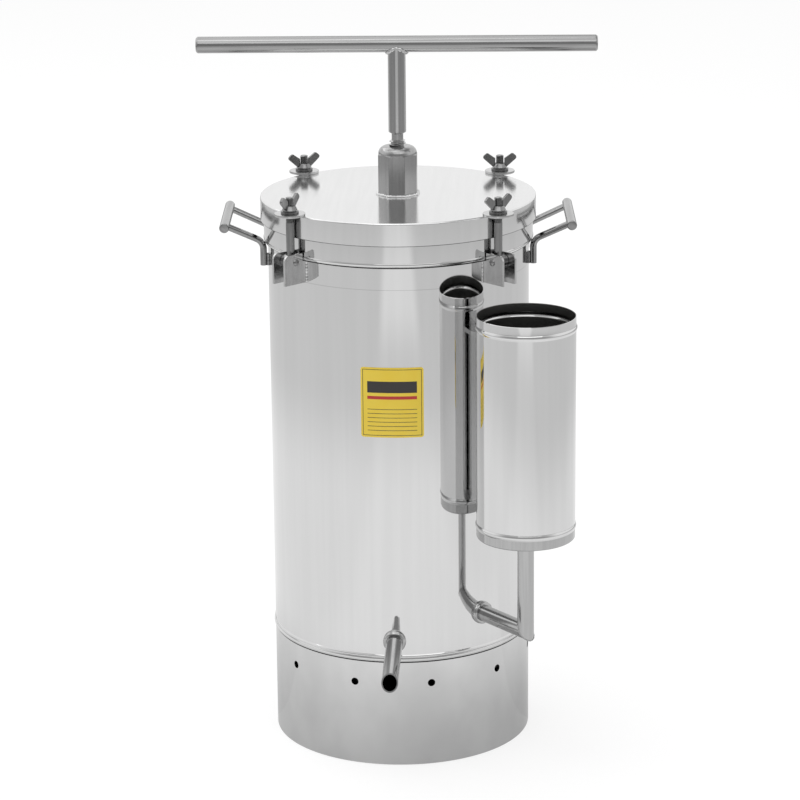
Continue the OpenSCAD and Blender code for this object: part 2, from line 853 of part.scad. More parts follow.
module press_screw() {
    color("darkgray") difference() {
        union() {
            translate([0, 0, pivot_end]) cylinder(d = pivot_d, h = shoulder_z - pivot_end);
            translate([0, 0, shoulder_z]) cylinder(d = screw_d, h = thread_top - shoulder_z);
            translate([0, 0, thread_top]) cylinder(d = neck_d, h = neck_h);
        }
        translate([0, 0, pivot_end - overlap])
            cylinder(d = retainer_bolt_d, h = retainer_bolt_l + 2 * overlap);
    }
}

module handle_stem() {
    corner_r = over_corners(stem_af, hex_sides) / 2;
    color("darkgray") at_az(bar_turn) difference() {
        intersection() {
            flat_bar(stem_af, hex_sides, stem_foot, stem_l);
            translate([0, 0, stem_foot]) rotate_extrude() polygon([
                [0, 0], [neck_d / 2, 0], [corner_r, stem_taper], [corner_r, stem_l], [0, stem_l]
            ]);
        }
        cross_rod(bar_d / 2, bar_l, 0, bar_z);
    }
}

module handle_bar() {
    bar_r = bar_d / 2;
    half = bar_l / 2;
    color("gray") at_az(bar_turn) translate([0, 0, bar_z]) rotate([0, 90, 0]) rotate_extrude() polygon(concat(
        [[0, -half]],
        arc([bar_r - bar_round, bar_round - half], bar_round, -90, 0),
        arc([bar_r - bar_round, half - bar_round], bar_round, 0, 90),
        [[0, half]]
    ));
}

module retaining_washer() {
    bolt_hole_r = retainer_bolt_d / 2 + disc_gap;
    color("silver") tube(seat_washer_d / 2, bolt_hole_r, pivot_end - retainer_t, pivot_end);
}

module retaining_bolt() {
    head_top = pivot_end - retainer_t;
    color("silver") union() {
        translate([0, 0, head_top - overlap])
            cylinder(d = retainer_bolt_d, h = retainer_t + retainer_bolt_l + overlap);
        flat_bar(retainer_head_af, hex_sides, head_top - retainer_head_h, retainer_head_h);
    }
}

module swing_bolt(i) {
    color("dimgray") at_clamp(i) difference() {
        union() {
            translate([0, -rod_r, pin_z]) cylinder(d = rod_d, h = rod_end - pin_z - edge_break);
            translate([0, -rod_r, rod_end - edge_break])
                cylinder(d1 = rod_d, d2 = rod_d - 2 * edge_break, h = edge_break);
            cross_rod(eye_d / 2, cheek_gap - 2 * disc_gap, -pin_r, pin_z);
        }
        cross_rod(pin_d / 2 + run_gap, cheek_gap + overlap, -pin_r, pin_z);
    }
}

// A flat ring round a swing bolt
module bolt_ring(i, d, foot, top) {
    at_clamp(i) translate([0, -rod_r, 0]) tube(d / 2, rod_d / 2 + disc_gap, foot, top);
}

module clamp_disc(i) {
    color("lightgray") bolt_ring(i, disc_d, disc_foot, disc_top);
}

module nut_washer(i) {
    color("dimgray") bolt_ring(i, washer_d, disc_top, washer_top);
}

// A wing leans out from the hub to the tip
module wing() {
    tip = wing_span / 2;
    lean = atan2(tip - wing_root, wing_h);
    step = wing_w * [cos(lean), -sin(lean)] / 2;
    rotate([90, 0, 0]) translate([0, 0, -wing_t / 2]) linear_extrude(wing_t) polygon([
        [0, edge_break], [wing_root + step[0], edge_break],
        [tip, wing_h + 2 * step[1]], [tip - 2 * step[0], wing_h], [0, wing_seat]
    ]);
}

module wing_nut(i) {
    turn = wing_turns[i] - clamp_az[i];
    color("dimgray") at_clamp(i) translate([0, -rod_r, washer_top]) at_az(turn) difference() {
        union() {
            cylinder(d1 = wing_foot_d, d2 = wing_top_d, h = wing_hub_h);
            wing();
            mirror([1, 0, 0]) wing();
        }
        translate([0, 0, -overlap]) cylinder(r = rod_d / 2 + run_gap, h = wing_h + 2 * overlap);
    }
}

outer_shell();
base_skirt();
skirt_foot();
skirt_ledge();
boiler_floor();
rim_collar();
rim_flange();
inner_wall();
inner_floor();
basket_stand();
basket_floor();
basket_wall();
spout_tube();
spout_collar();
filler_cup();
filler_cup_base();
filler_riser();
filler_feed();
filler_collar();
filler_stay();
label_plate();
handle_grip(-1);  // handle_grip_left
handle_grip(1);  // handle_grip_right
handle_wires(-1);  // handle_wires_left
handle_wires(1);  // handle_wires_right
clamp_brackets();
clamp_pins();
lid();
lid_gasket();
press_nut();
press_plate();
plate_hub();
thrust_washer();
press_screw();
handle_stem();
handle_bar();
retaining_washer();
retaining_bolt();
swing_bolt(front_left);  // swing_bolt_front_left
swing_bolt(front_right);  // swing_bolt_front_right
swing_bolt(back_right);  // swing_bolt_back_right
swing_bolt(back_left);  // swing_bolt_back_left
clamp_disc(front_left);  // clamp_disc_front_left
clamp_disc(front_right);  // clamp_disc_front_right
clamp_disc(back_right);  // clamp_disc_back_right
clamp_disc(back_left);  // clamp_disc_back_left
nut_washer(front_left);  // nut_washer_front_left
nut_washer(front_right);  // nut_washer_front_right
nut_washer(back_right);  // nut_washer_back_right
nut_washer(back_left);  // nut_washer_back_left
wing_nut(front_left);  // wing_nut_front_left
wing_nut(front_right);  // wing_nut_front_right
wing_nut(back_right);  // wing_nut_back_right
wing_nut(back_left);  // wing_nut_back_left
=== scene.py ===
import json
from math import atan2, cos, pi, radians, sin, sqrt, tan

import bmesh
import bpy
from mathutils import Matrix, Vector

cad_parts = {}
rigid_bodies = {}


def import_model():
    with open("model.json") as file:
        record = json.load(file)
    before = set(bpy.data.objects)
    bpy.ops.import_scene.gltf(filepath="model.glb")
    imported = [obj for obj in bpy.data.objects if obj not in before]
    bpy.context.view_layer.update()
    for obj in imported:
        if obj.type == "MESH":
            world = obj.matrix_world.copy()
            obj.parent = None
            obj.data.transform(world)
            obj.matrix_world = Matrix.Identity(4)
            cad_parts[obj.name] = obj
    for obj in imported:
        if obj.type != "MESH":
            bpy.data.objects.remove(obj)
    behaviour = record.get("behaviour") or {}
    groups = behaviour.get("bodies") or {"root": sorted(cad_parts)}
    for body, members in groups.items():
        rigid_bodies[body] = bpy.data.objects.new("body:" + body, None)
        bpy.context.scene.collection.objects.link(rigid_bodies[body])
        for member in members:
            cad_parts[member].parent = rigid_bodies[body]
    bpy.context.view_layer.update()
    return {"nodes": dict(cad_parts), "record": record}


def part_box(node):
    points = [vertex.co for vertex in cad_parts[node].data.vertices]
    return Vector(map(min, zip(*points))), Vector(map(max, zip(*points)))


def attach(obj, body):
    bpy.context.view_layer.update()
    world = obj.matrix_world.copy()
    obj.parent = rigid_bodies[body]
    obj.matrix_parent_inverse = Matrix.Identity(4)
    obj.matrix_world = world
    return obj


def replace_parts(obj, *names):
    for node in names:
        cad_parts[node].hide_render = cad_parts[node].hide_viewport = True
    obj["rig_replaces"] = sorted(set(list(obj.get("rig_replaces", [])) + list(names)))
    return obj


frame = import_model()
mm = 0.001
print("frame loaded:", len(frame["nodes"]), "nodes")


# camera and light

camera = dict(
    turn=0.0591, lift=0.2793, distance=3.7906, aimHeight=0.43,
    pitch=0.2682, roll=-0.0098, focalPixels=3065.4, imageSide=800,
    sensor=36.0, shiftX=0.0005, shiftY=-0.0538, clipEnd=100,
)


def setCamera():
    turn, lift, pitch, roll = (camera[key] for key in ("turn", "lift", "pitch", "roll"))
    away = camera["distance"] * cos(lift)
    spot = Vector((away * sin(turn), -away * cos(turn), camera["aimHeight"] + camera["distance"] * sin(lift)))
    ahead = Vector((-sin(turn), cos(turn), 0))
    flatRight = Vector((cos(turn), sin(turn), 0))
    flatUp = sin(pitch) * ahead + Vector((0, 0, cos(pitch)))
    right = cos(roll) * flatRight + sin(roll) * flatUp
    up = cos(roll) * flatUp - sin(roll) * flatRight
    lens = bpy.data.cameras.new("camera")
    lens.sensor_width = camera["sensor"]
    lens.lens = camera["focalPixels"] * camera["sensor"] / camera["imageSide"]
    lens.shift_x = camera["shiftX"]
    lens.shift_y = camera["shiftY"]
    lens.clip_end = camera["clipEnd"]
    eye = bpy.data.objects.new("camera", lens)
    axes = Matrix((right, up, right.cross(up))).transposed()
    eye.matrix_world = Matrix.Translation(spot) @ axes.to_4x4()
    bpy.context.scene.collection.objects.link(eye)
    bpy.context.scene.camera = eye


class Sock:
    # a node's output; arithmetic on it adds Math nodes
    def __init__(self, tree, socket=None):
        self.tree = tree
        self.socket = socket

    def node(self, kind, settings=None, inputs=None, out=0):
        made = self.tree.nodes.new(kind)
        for key, value in (settings or {}).items():
            setattr(made, key, value)
        for key, value in (inputs or {}).items():
            if isinstance(value, Sock):
                self.tree.links.new(value.socket, made.inputs[key])
            else:
                made.inputs[key].default_value = value
        return Sock(self.tree, made.outputs[out])

    def math(self, operation, *values):
        return self.node("ShaderNodeMath", {"operation": operation}, dict(enumerate(values)))

    def __add__(self, other):
        return self.math("ADD", self, other)

    def __radd__(self, other):
        return self.math("ADD", other, self)

    def __sub__(self, other):
        return self.math("SUBTRACT", self, other)

    def __rsub__(self, other):
        return self.math("SUBTRACT", other, self)

    def __mul__(self, other):
        return self.math("MULTIPLY", self, other)

    def __rmul__(self, other):
        return self.math("MULTIPLY", other, self)

    def __lt__(self, other):
        return self.math("LESS_THAN", self, other)

    def __gt__(self, other):
        return self.math("GREATER_THAN", self, other)

    def __abs__(self):
        return self.math("ABSOLUTE", self)


def noise(place, scale, detail=2.0):
    spread = place.node("ShaderNodeMapping", {}, {"Vector": place, "Scale": scale})
    return place.node("ShaderNodeTexNoise", {}, {"Vector": spread, "Scale": 1.0, "Detail": detail})


def ramp(value, low, high):
    # 0 below low, 1 above high, smooth between
    return value.node("ShaderNodeMapRange", {"interpolation_type": "SMOOTHSTEP"},
                      {"Value": value, "From Min": low, "From Max": high})


def axisOf(place, axis):
    return place.node("ShaderNodeSeparateXYZ", {}, {0: place}, axis)


def bump(height, depth, strength=1.0):
    return height.node("ShaderNodeBump", {}, {"Strength": strength, "Distance": depth, "Height": height})


def mixColour(share, one, two):
    pair = [colour if isinstance(colour, Sock) else (*colour, 1.0) for colour in (one, two)]
    return share.node("ShaderNodeMix", {"data_type": "RGBA"}, {0: share, 6: pair[0], 7: pair[1]}, 2)


def newMaterial(name, fixed):
    # gives the material, its Object coordinates and a function that links its surface
    material = bpy.data.materials.new(name)
    material.use_nodes = True
    tree = material.node_tree
    surface = tree.nodes["Principled BSDF"]
    for key, value in fixed.items():
        surface.inputs[key].default_value = value

    def connect(**links):
        for key, value in links.items():
            tree.links.new(value.socket, surface.inputs[key.replace("_", " ")])
    return material, Sock(tree).node("ShaderNodeTexCoord", out="Object"), connect


studio = dict(
    skySeen=1.0, skyGloss=1.0, skyLight=0.80, highDark=0.62, highRange=(0.60, 0.80),
    frontDark=0.60, frontRange=(0.15, 0.75), frontHeights=(0.40, 0.66),
    floorSide=30.0, floorShade=0.35, floorSeen=0.66, floorDrop=0.3 * mm,
    poolFoot=0.24, poolRise=0.31, riseRange=(0.0, 0.45), poolFall=0.20, fallRange=(1.0, 1.7),
    # the strip values paint a brighter glowing strip on the floor, seen only in reflections
    farFall=0.26, farRange=(2.5, 3.8), glowStripMiddle=0.12, glowStripSide=(0.45, 0.75),
    glowStripRise=0.04, glowStripFar=0.16, glowStripRange=(1.8, 2.3),
    keySpot=(-1.6, 0.8, 4.5), keySide=5.6, keyPower=90.0,
    fillSpot=(0.6, -2.8, 4.8), fillSide=5.0, fillPower=60.0, lampAim=0.45,
)


def rayKinds(base):
    # rays from the camera, and rays that a shiny or clear surface sends on
    seen = base.node("ShaderNodeLightPath", out="Is Camera Ray")
    outputs = seen.socket.node.outputs
    gloss, passed = (Sock(base.tree, outputs[kind]) for kind in ("Is Glossy Ray", "Is Transmission Ray"))
    return seen, gloss.math("MAXIMUM", gloss, passed)


def setSky():
    world = bpy.data.worlds.new("studio")
    bpy.context.scene.world = world
    world.use_nodes = True
    tree = world.node_tree
    base = Sock(tree)
    seen, gloss = rayKinds(base)
    ray = base.node("ShaderNodeTexCoord", out="Generated")
    y, z = (axisOf(ray, axis) for axis in "YZ")
    # in reflections the room behind the camera is darker low down
    front = ramp(-1 * y, *studio["frontRange"]) * (1 - ramp(z, *studio["frontHeights"]))
    # high up the lamps are mirrored as well, so the sky behind them is dimmer
    high = ramp(z, *studio["highRange"])
    glossLevel = studio["skyGloss"] * (1 - studio["frontDark"] * front) * (1 - studio["highDark"] * high)
    rest = 1 - gloss
    hidden = gloss * glossLevel + rest * studio["skyLight"]
    level = seen * studio["skySeen"] + (1 - seen) * hidden
    tree.links.new(level.socket, tree.nodes["Background"].inputs["Strength"])
    tree.nodes["Background"].inputs["Color"].default_value = (1, 1, 1, 1)


def setFloor():
    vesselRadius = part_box("base_skirt")[1].x
    bm = bmesh.new()
    bmesh.ops.create_grid(bm, x_segments=1, y_segments=1, size=studio["floorSide"] / 2)
    mesh = bpy.data.meshes.new("floor")
    bm.to_mesh(mesh)
    bm.free()
    floor = bpy.data.objects.new("floor", mesh)
    bpy.context.scene.collection.objects.link(floor)
    floor.location.z = -studio["floorDrop"]
    material = bpy.data.materials.new("floor")
    material.use_nodes = True
    tree = material.node_tree
    tree.nodes.remove(tree.nodes["Principled BSDF"])
    base = Sock(tree)
    seen, gloss = rayKinds(base)
    shade = studio["floorShade"]
    lit = base.node("ShaderNodeBsdfDiffuse", {}, {"Color": (shade, shade, shade, 1)})
    # in reflections the floor is a pool of light that fades near the object and far away,
    # with a painted glowing strip, extra light seen only in reflections, that runs to the front
    place = base.node("ShaderNodeTexCoord", out="Object")
    reach = base.node("ShaderNodeVectorMath", {"operation": "LENGTH"}, {0: place}, "Value")
    x, y = (axisOf(place, axis) for axis in "XY")
    away = reach - vesselRadius
    pool = (studio["poolFoot"] + studio["poolRise"] * ramp(away, *studio["riseRange"])
            - studio["poolFall"] * ramp(away, *studio["fallRange"])
            - studio["farFall"] * ramp(away, *studio["farRange"]))
    side = abs(x - studio["glowStripMiddle"])
    glowStrip = (1 - ramp(side, *studio["glowStripSide"])) * (y < 0)
    pool = pool + glowStrip * (studio["glowStripRise"] + studio["glowStripFar"] * ramp(away, *studio["glowStripRange"]))
    pool = pool.math("MAXIMUM", pool, 0.0)
    # no glow under the object
    level = (seen * studio["floorSeen"] + gloss * pool) * (away > -1 * mm)
    glow = base.node("ShaderNodeEmission", {}, {"Strength": level})
    both = base.node("ShaderNodeAddShader", {}, {0: lit, 1: glow})
    tree.links.new(both.socket, tree.nodes["Material Output"].inputs["Surface"])
    mesh.materials.append(material)


def setLamp(name):
    spot, side, power = (studio[name + part] for part in ("Spot", "Side", "Power"))
    light = bpy.data.lights.new(name + "Lamp", "AREA")
    light.size = side
    light.energy = power
    lamp = bpy.data.objects.new(name + "Lamp", light)
    aim = Vector((0, 0, studio["lampAim"])) - Vector(spot)
    lamp.matrix_world = Matrix.Translation(spot) @ aim.to_track_quat("-Z", "Y").to_matrix().to_4x4()
    bpy.context.scene.collection.objects.link(lamp)


setCamera()
setSky()
setFloor()
for lampName in ("key", "fill"):
    setLamp(lampName)
bpy.context.scene.view_settings.view_transform = "Standard"
print("camera, floor and lamps set")


# finishes

steelLooks = {
    "polished_shell": dict(tone=(0.665, 0.70), rough=(0.03, 0.06), lines=0.005, grain=(90, 90, 3),
                           smudge=(5, 5, 2), wave=(6, 6, 1.8), waveDepth=0.35 * mm),
    "polished_lid": dict(tone=(0.74, 0.78), rough=(0.12, 0.17), lines=0.01, grain=(160, 6, 6),
                         smudge=(5, 5, 5), wave=(5, 5, 5), waveDepth=0.3 * mm),
    "polished_skirt": dict(tone=(0.59, 0.69), rough=(0.04, 0.11), lines=0.005, grain=(16, 16, 9),
                           smudge=(7, 7, 9), wave=(7, 7, 2.5), waveDepth=0.4 * mm),
    "satin_steel": dict(tone=(0.36, 0.45), rough=(0.20, 0.30), lines=0.02, grain=(30, 30, 300),
                        smudge=(9, 9, 9), wave=(30, 30, 30), waveDepth=0.03 * mm),
    "pipe_steel": dict(tone=(0.40, 0.47), rough=(0.07, 0.13), lines=0.01, grain=(300, 300, 12),
                       smudge=(18, 18, 7), wave=(24, 24, 5), waveDepth=0.05 * mm),
    "handle_steel": dict(tone=(0.26, 0.33), rough=(0.10, 0.16), lines=0.01, grain=(300, 12, 300),
                         smudge=(20, 8, 20), wave=(30, 8, 30), waveDepth=0.03 * mm),
    "press_steel": dict(tone=(0.33, 0.42), rough=(0.20, 0.28), lines=0.02, grain=(320, 320, 7),
                        smudge=(60, 60, 14), wave=(90, 90, 12), waveDepth=0.03 * mm),
    "bar_steel": dict(tone=(0.31, 0.38), rough=(0.13, 0.19), lines=0.01, grain=(5, 600, 600),
                      smudge=(9, 40, 40), wave=(9, 40, 40), waveDepth=0.03 * mm),
    "thread_steel": dict(tone=(0.42, 0.48), rough=(0.09, 0.14), lines=0.01, grain=(200, 200, 200),
                         smudge=(60, 60, 60), wave=(90, 90, 90), waveDepth=0.02 * mm),
    "clamp_steel": dict(tone=(0.21, 0.29), rough=(0.16, 0.26), lines=0.02, grain=(260, 260, 40),
                        smudge=(50, 50, 30), wave=(60, 60, 60), waveDepth=0.03 * mm),
    "disc_steel": dict(tone=(0.50, 0.58), rough=(0.12, 0.18), lines=0.01, grain=(200, 200, 60),
                       smudge=(50, 50, 50), wave=(60, 60, 60), waveDepth=0.03 * mm),
    "weld_steel": dict(tone=(0.62, 0.74), rough=(0.10, 0.22), lines=0.03, grain=(300, 300, 300),
                       smudge=(120, 120, 120), wave=(260, 260, 260), waveDepth=0.25 * mm),
    "dark_washer": dict(tone=(0.13, 0.22), rough=(0.24, 0.36), lines=0.03, grain=(200, 200, 200),
                        smudge=(80, 80, 80), wave=(160, 160, 160), waveDepth=0.03 * mm),
    "washer_bronze": dict(tone=(0.50, 0.62), tint=(1.0, 0.70, 0.34), rough=(0.24, 0.36), lines=0.03,
                          grain=(200, 200, 400), smudge=(50, 50, 50), wave=(90, 90, 90), waveDepth=0.04 * mm),
}
steelLooks["polished_cup"] = steelLooks["polished_shell"]
steelLooks["stem_steel"] = steelLooks["press_steel"]
steelLooks["bracket_steel"] = dict(steelLooks["clamp_steel"], tone=(0.46, 0.57), rough=(0.14, 0.22))
steelWear = dict(fine=3.0, coarse=1.0, smudgeRange=(0.35, 0.75), grainRange=(0.3, 0.7),
                 grainShare=0.6, smudgeShare=0.4)


def steel(name, look, mask=None):
    # grain draws fine lines, smudges dull the gloss in patches, waves make the sheet a little uneven
    material, place, connect = newMaterial(name, {"Metallic": 1.0})
    grain = noise(place, look["grain"], steelWear["fine"])
    smudge = ramp(noise(place, look["smudge"], steelWear["fine"]), *steelWear["smudgeRange"])
    height = noise(place, look["wave"], steelWear["coarse"])
    dark, light = ([level * part for part in look.get("tint", (1, 1, 1))] for level in look["tone"])
    share = (ramp(grain, *steelWear["grainRange"]) * steelWear["grainShare"]
             + smudge * steelWear["smudgeShare"])
    tone = mixColour(share, light, dark)
    low, high = look["rough"]
    rough = low + (high - low) * smudge + (grain - 0.5) * look["lines"]
    if mask:
        tone, rough, height = mask(place, tone, rough, height)
    connect(Base_Color=tone, Roughness=rough, Normal=bump(height, look["waveDepth"]))
    return material


shellMarks = dict(
    seamHalf=1.6 * mm, seamTone=(0.52, 0.52, 0.52), seamRough=0.22, seamGrain=(300, 300, 260),
    seamEven=0.8, seamUneven=0.4, seamRise=0.35, seamRipple=0.5,
    scoreHeight=598 * mm, scoreHalf=0.45 * mm, scoreTone=(0.56, 0.56, 0.56),
    # painted shade: the dark band under edges that stand out
    shadeTone=(0.035, 0.035, 0.035), shadeRough=0.5, shadeBelow=2 * mm, shadeAbove=0.35 * mm,
)


def paintedShadeLine(place, tone, rough, top):
    # painted shade: the gap under an edge that stands out is coloured dark where its shadow falls
    z = axisOf(place, "Z")
    gap = (z > top - shellMarks["shadeBelow"]) * (z < top + shellMarks["shadeAbove"])
    return mixColour(gap, tone, shellMarks["shadeTone"]), rough + gap * (shellMarks["shadeRough"] - rough)


def seamAndPaintedShade(place, tone, rough, height):
    # the sheet's upright weld at the back, a faint ring where it was rolled, and painted shade: a dark line
    # coloured under the rim's bead
    x, y, z = (axisOf(place, axis) for axis in "XYZ")
    ripple = noise(place, shellMarks["seamGrain"], steelWear["coarse"])
    half = shellMarks["seamHalf"] * (shellMarks["seamEven"] + shellMarks["seamUneven"] * ripple)
    seam = (abs(x) < half) * (y > 0)
    score = abs(z - shellMarks["scoreHeight"]) < shellMarks["scoreHalf"]
    tone = mixColour(seam, tone, shellMarks["seamTone"])
    tone = mixColour(score, tone, shellMarks["scoreTone"])
    rough = rough + seam * (shellMarks["seamRough"] - rough)
    # painted shade under the rim collar's bead
    tone, rough = paintedShadeLine(place, tone, rough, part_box("rim_collar")[0].z)
    return tone, rough, height + seam * (shellMarks["seamRise"] + shellMarks["seamRipple"] * ripple)


def skirtShadeLine(place, tone, rough, height):
    # painted shade: a dark line on the skirt just under the shell's hem
    tone, rough = paintedShadeLine(place, tone, rough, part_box("base_skirt")[1].z)
    return tone, rough, height


# painted shade at the lid's lower edge
lidMarks = dict(shadeHeight=0.9 * mm, paintedEdgeTone=(0.28, 0.28, 0.28))


def lidEdgeShade(place, tone, rough, height):
    # painted shade along the lower edge of the lid's band
    z = axisOf(place, "Z")
    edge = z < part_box("lid")[0].z + lidMarks["shadeHeight"]
    return mixColour(edge, tone, lidMarks["paintedEdgeTone"]), rough, height


# painted highlight on the stem's corners
stemMarks = dict(highlightReach=11.3 * mm, paintedEdgeTone=(0.7, 0.7, 0.7))


def cornerHighlight(place, tone, rough, height):
    # painted highlight: the corners of the stem are coloured bright
    x, y = (axisOf(place, axis) for axis in "XY")
    edge = x * x + y * y > stemMarks["highlightReach"] ** 2
    return mixColour(edge, tone, stemMarks["paintedEdgeTone"]), rough, height


# the inside tone is painted shade, the inside roughness an unpolished face
cupMarks = dict(insideShadeTone=(0.30, 0.30, 0.295), insideRough=0.30, wallHalf=0.5 * mm)


def dullAndShadedInside(place, tone, rough, height):
    # the cup's inner face was left unpolished, so it is rougher, and its colour is darkened as painted shade
    # inside the cup
    low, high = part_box("filler_cup_base")
    middle = place.node("ShaderNodeVectorMath", {"operation": "SUBTRACT"},
                        {0: place, 1: ((low.x + high.x) / 2, (low.y + high.y) / 2, 0)})
    flat = place.node("ShaderNodeVectorMath", {"operation": "MULTIPLY"}, {0: middle, 1: (1, 1, 0)})
    reach = place.node("ShaderNodeVectorMath", {"operation": "LENGTH"}, {0: flat}, "Value")
    inside = reach < (high.x - low.x) / 2 - cupMarks["wallHalf"]
    tone = mixColour(inside, tone, cupMarks["insideShadeTone"])
    return tone, rough + inside * (cupMarks["insideRough"] - rough), height


gasketLook = dict(clean=(0.88, 0.87, 0.84), dusty=(0.78, 0.76, 0.71), shine=0.35, rough=0.55, roughDust=0.2,
                  dust=(60, 60, 60), dustDetail=4.0, pores=(900, 900, 900), poreDepth=0.1 * mm, poreShare=0.5)


def rubber(name):
    material, place, connect = newMaterial(name, {"Specular IOR Level": gasketLook["shine"]})
    dust = noise(place, gasketLook["dust"], gasketLook["dustDetail"])
    pores = noise(place, gasketLook["pores"])
    connect(Base_Color=mixColour(dust, gasketLook["clean"], gasketLook["dusty"]),
            Roughness=gasketLook["rough"] + gasketLook["roughDust"] * dust,
            Normal=bump(pores, gasketLook["poreDepth"], gasketLook["poreShare"]))
    return material


labelPrint = dict(
    yellow=(0.93, 0.66, 0.045), paler=(0.98, 0.75, 0.09), ink=(0.025, 0.022, 0.02), red=(0.55, 0.035, 0.03),
    thick=0.3 * mm, cuts=24, corner=3.0 * mm, cornerSteps=6, border=2.2 * mm, borderLine=0.7 * mm,
    bandFoot=12 * mm, bandTop=26 * mm, redFoot=4 * mm, redTop=8 * mm,
    ruleTop=-8 * mm, ruleStep=5.2 * mm, ruleCount=6, ruleLine=0.7 * mm, ruleInset=8 * mm,
    filmRough=0.08, filmIndex=1.48, fade=(40, 40, 30), fadeDetail=3.0, rough=0.24, roughFade=0.14,
    coat=0.2, coatFade=0.2, depth=0.05 * mm, depthShare=0.3,
)


def labelFilm(name):
    # a plain sticker: a border, a dark band, a red stripe and ruled lines
    film = {"Coat Roughness": labelPrint["filmRough"], "IOR": labelPrint["filmIndex"]}
    material, place, connect = newMaterial(name, film)
    low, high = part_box("label_plate")
    radius = -low.y
    half = Vector((radius * atan2(high.x, -high.y), 0, (high.z - low.z) / 2))
    middle = (low.z + high.z) / 2
    x, y, z = (axisOf(place, axis) for axis in "XYZ")
    across = x.math("ARCTAN2", x, -1 * y) * radius
    up = z - middle
    sideEdge = half.x - abs(across)
    endEdge = half.z - abs(up)
    edge = sideEdge.math("MINIMUM", sideEdge, endEdge)
    within = edge > labelPrint["border"] + labelPrint["borderLine"]
    line = (edge > labelPrint["border"]) * (1 - within)

    def strip(foot, top):
        return (up > foot) * (up < top) * within
    rules = None
    field = sideEdge > labelPrint["ruleInset"]
    for count in range(labelPrint["ruleCount"]):
        top = labelPrint["ruleTop"] - count * labelPrint["ruleStep"]
        rule = strip(top - labelPrint["ruleLine"], top) * field
        rules = rule if rules is None else rules + rule
    band = strip(labelPrint["bandFoot"], labelPrint["bandTop"]) * field
    ink = line.math("MINIMUM", line + rules + band, 1.0)
    fade = noise(place, labelPrint["fade"], labelPrint["fadeDetail"])
    tone = mixColour(fade, labelPrint["yellow"], labelPrint["paler"])
    tone = mixColour(strip(labelPrint["redFoot"], labelPrint["redTop"]) * field, tone, labelPrint["red"])
    tone = mixColour(ink, tone, labelPrint["ink"])
    connect(Base_Color=tone, Roughness=labelPrint["rough"] + labelPrint["roughFade"] * fade,
            Coat_Weight=labelPrint["coat"] + labelPrint["coatFade"] * fade,
            Normal=bump(fade, labelPrint["depth"], labelPrint["depthShare"]))
    return material


steelMasks = {"polished_shell": seamAndPaintedShade, "polished_lid": lidEdgeShade, "polished_skirt": skirtShadeLine,
              "polished_cup": dullAndShadedInside, "stem_steel": cornerHighlight}
finishes = {name: steel(name, look, steelMasks.get(name)) for name, look in steelLooks.items()}
finishes["gasket_rubber"] = rubber("gasket_rubber")
finishes["label_film"] = labelFilm("label_film")
print("finishes made:", len(finishes))


# modelling helpers

bodyOf = {node: body for body, nodes in frame["record"]["behaviour"]["bodies"].items() for node in nodes}
slotOf = {part["node"]: part["material_slot"] for part in frame["record"]["subparts"]}
mergeWithin, smoothBelow = 0.002 * mm, 32


def newVerts(bm, before):
    return [v for v in bm.verts if v not in before]


def onlyVerts(geom):
    return [g for g in geom if isinstance(g, bmesh.types.BMVert)]


def lathe(bm, outline, steps, closed=True):
    # turns an outline of (radius, height) points about Z
    before = set(bm.verts)
    points = [bm.verts.new((r, 0, z)) for r, z in outline]
    ends = points[1:] + points[:1] if closed else points[1:]
    edges = [bm.edges.new(pair) for pair in zip(points, ends)]
    bmesh.ops.spin(bm, geom=points + edges, cent=(0, 0, 0), axis=(0, 0, 1), angle=2 * pi, steps=steps,
                   use_merge=True)
    bmesh.ops.remove_doubles(bm, verts=newVerts(bm, before), dist=mergeWithin)
    return newVerts(bm, before)


def move(bm, verts, matrix):
    bmesh.ops.transform(bm, matrix=matrix, verts=verts)
    return verts


def ring(bm, inner, outer, foot, top, steps, soft=0.0, segments=2):
    # a flat ring or a tube, with its four edges rounded
    before = set(bm.verts)
    verts = lathe(bm, [(inner, foot), (outer, foot), (outer, top), (inner, top)], steps)
    if soft:
        soften(bm, soft, segments, verts)
    return newVerts(bm, before)


def rod(bm, radius, foot, top, steps, soft=0.0, segments=3):
    before = set(bm.verts)
    verts = lathe(bm, [(0, foot), (radius, foot), (radius, top), (0, top)], steps, closed=False)
    if soft:
        soften(bm, soft, segments, verts)
    return newVerts(bm, before)


def cutter(radius, foot, top, matrix=Matrix.Identity(4), steps=64, tool=None):
    # a plain solid cylinder, used only to cut with
    tool = tool or bmesh.new()
    length = top - foot
    bmesh.ops.create_cone(tool, cap_ends=True, segments=steps, radius1=radius, radius2=radius, depth=length,
                          matrix=matrix @ Matrix.Translation((0, 0, foot + length / 2)))
    return tool


def soften(bm, width, segments, verts, sharp=40):
    own = set(verts)
    bmesh.ops.recalc_face_normals(bm, faces=[f for f in bm.faces if f.verts[0] in own])
    edges = [e for e in bm.edges
             if e.verts[0] in own and e.is_manifold and e.calc_face_angle(0) > radians(sharp)]
    bmesh.ops.bevel(bm, geom=edges, offset=width, segments=segments, profile=0.5, affect="EDGES", material=-1)


def extrude(bm, faces, shift):
    grown = bmesh.ops.extrude_face_region(bm, geom=faces)["geom"]
    bmesh.ops.translate(bm, vec=shift, verts=onlyVerts(grown))


def plate(bm, outline, thickness, soft=0.0):
    # an outline of (x, z) points made a plate, centred on Y
    before = set(bm.verts)
    face = bm.faces.new([bm.verts.new((x, -thickness / 2, z)) for x, z in outline])
    extrude(bm, [face], (0, thickness, 0))
    if soft:
        soften(bm, soft, 2, newVerts(bm, before))
    return newVerts(bm, before)


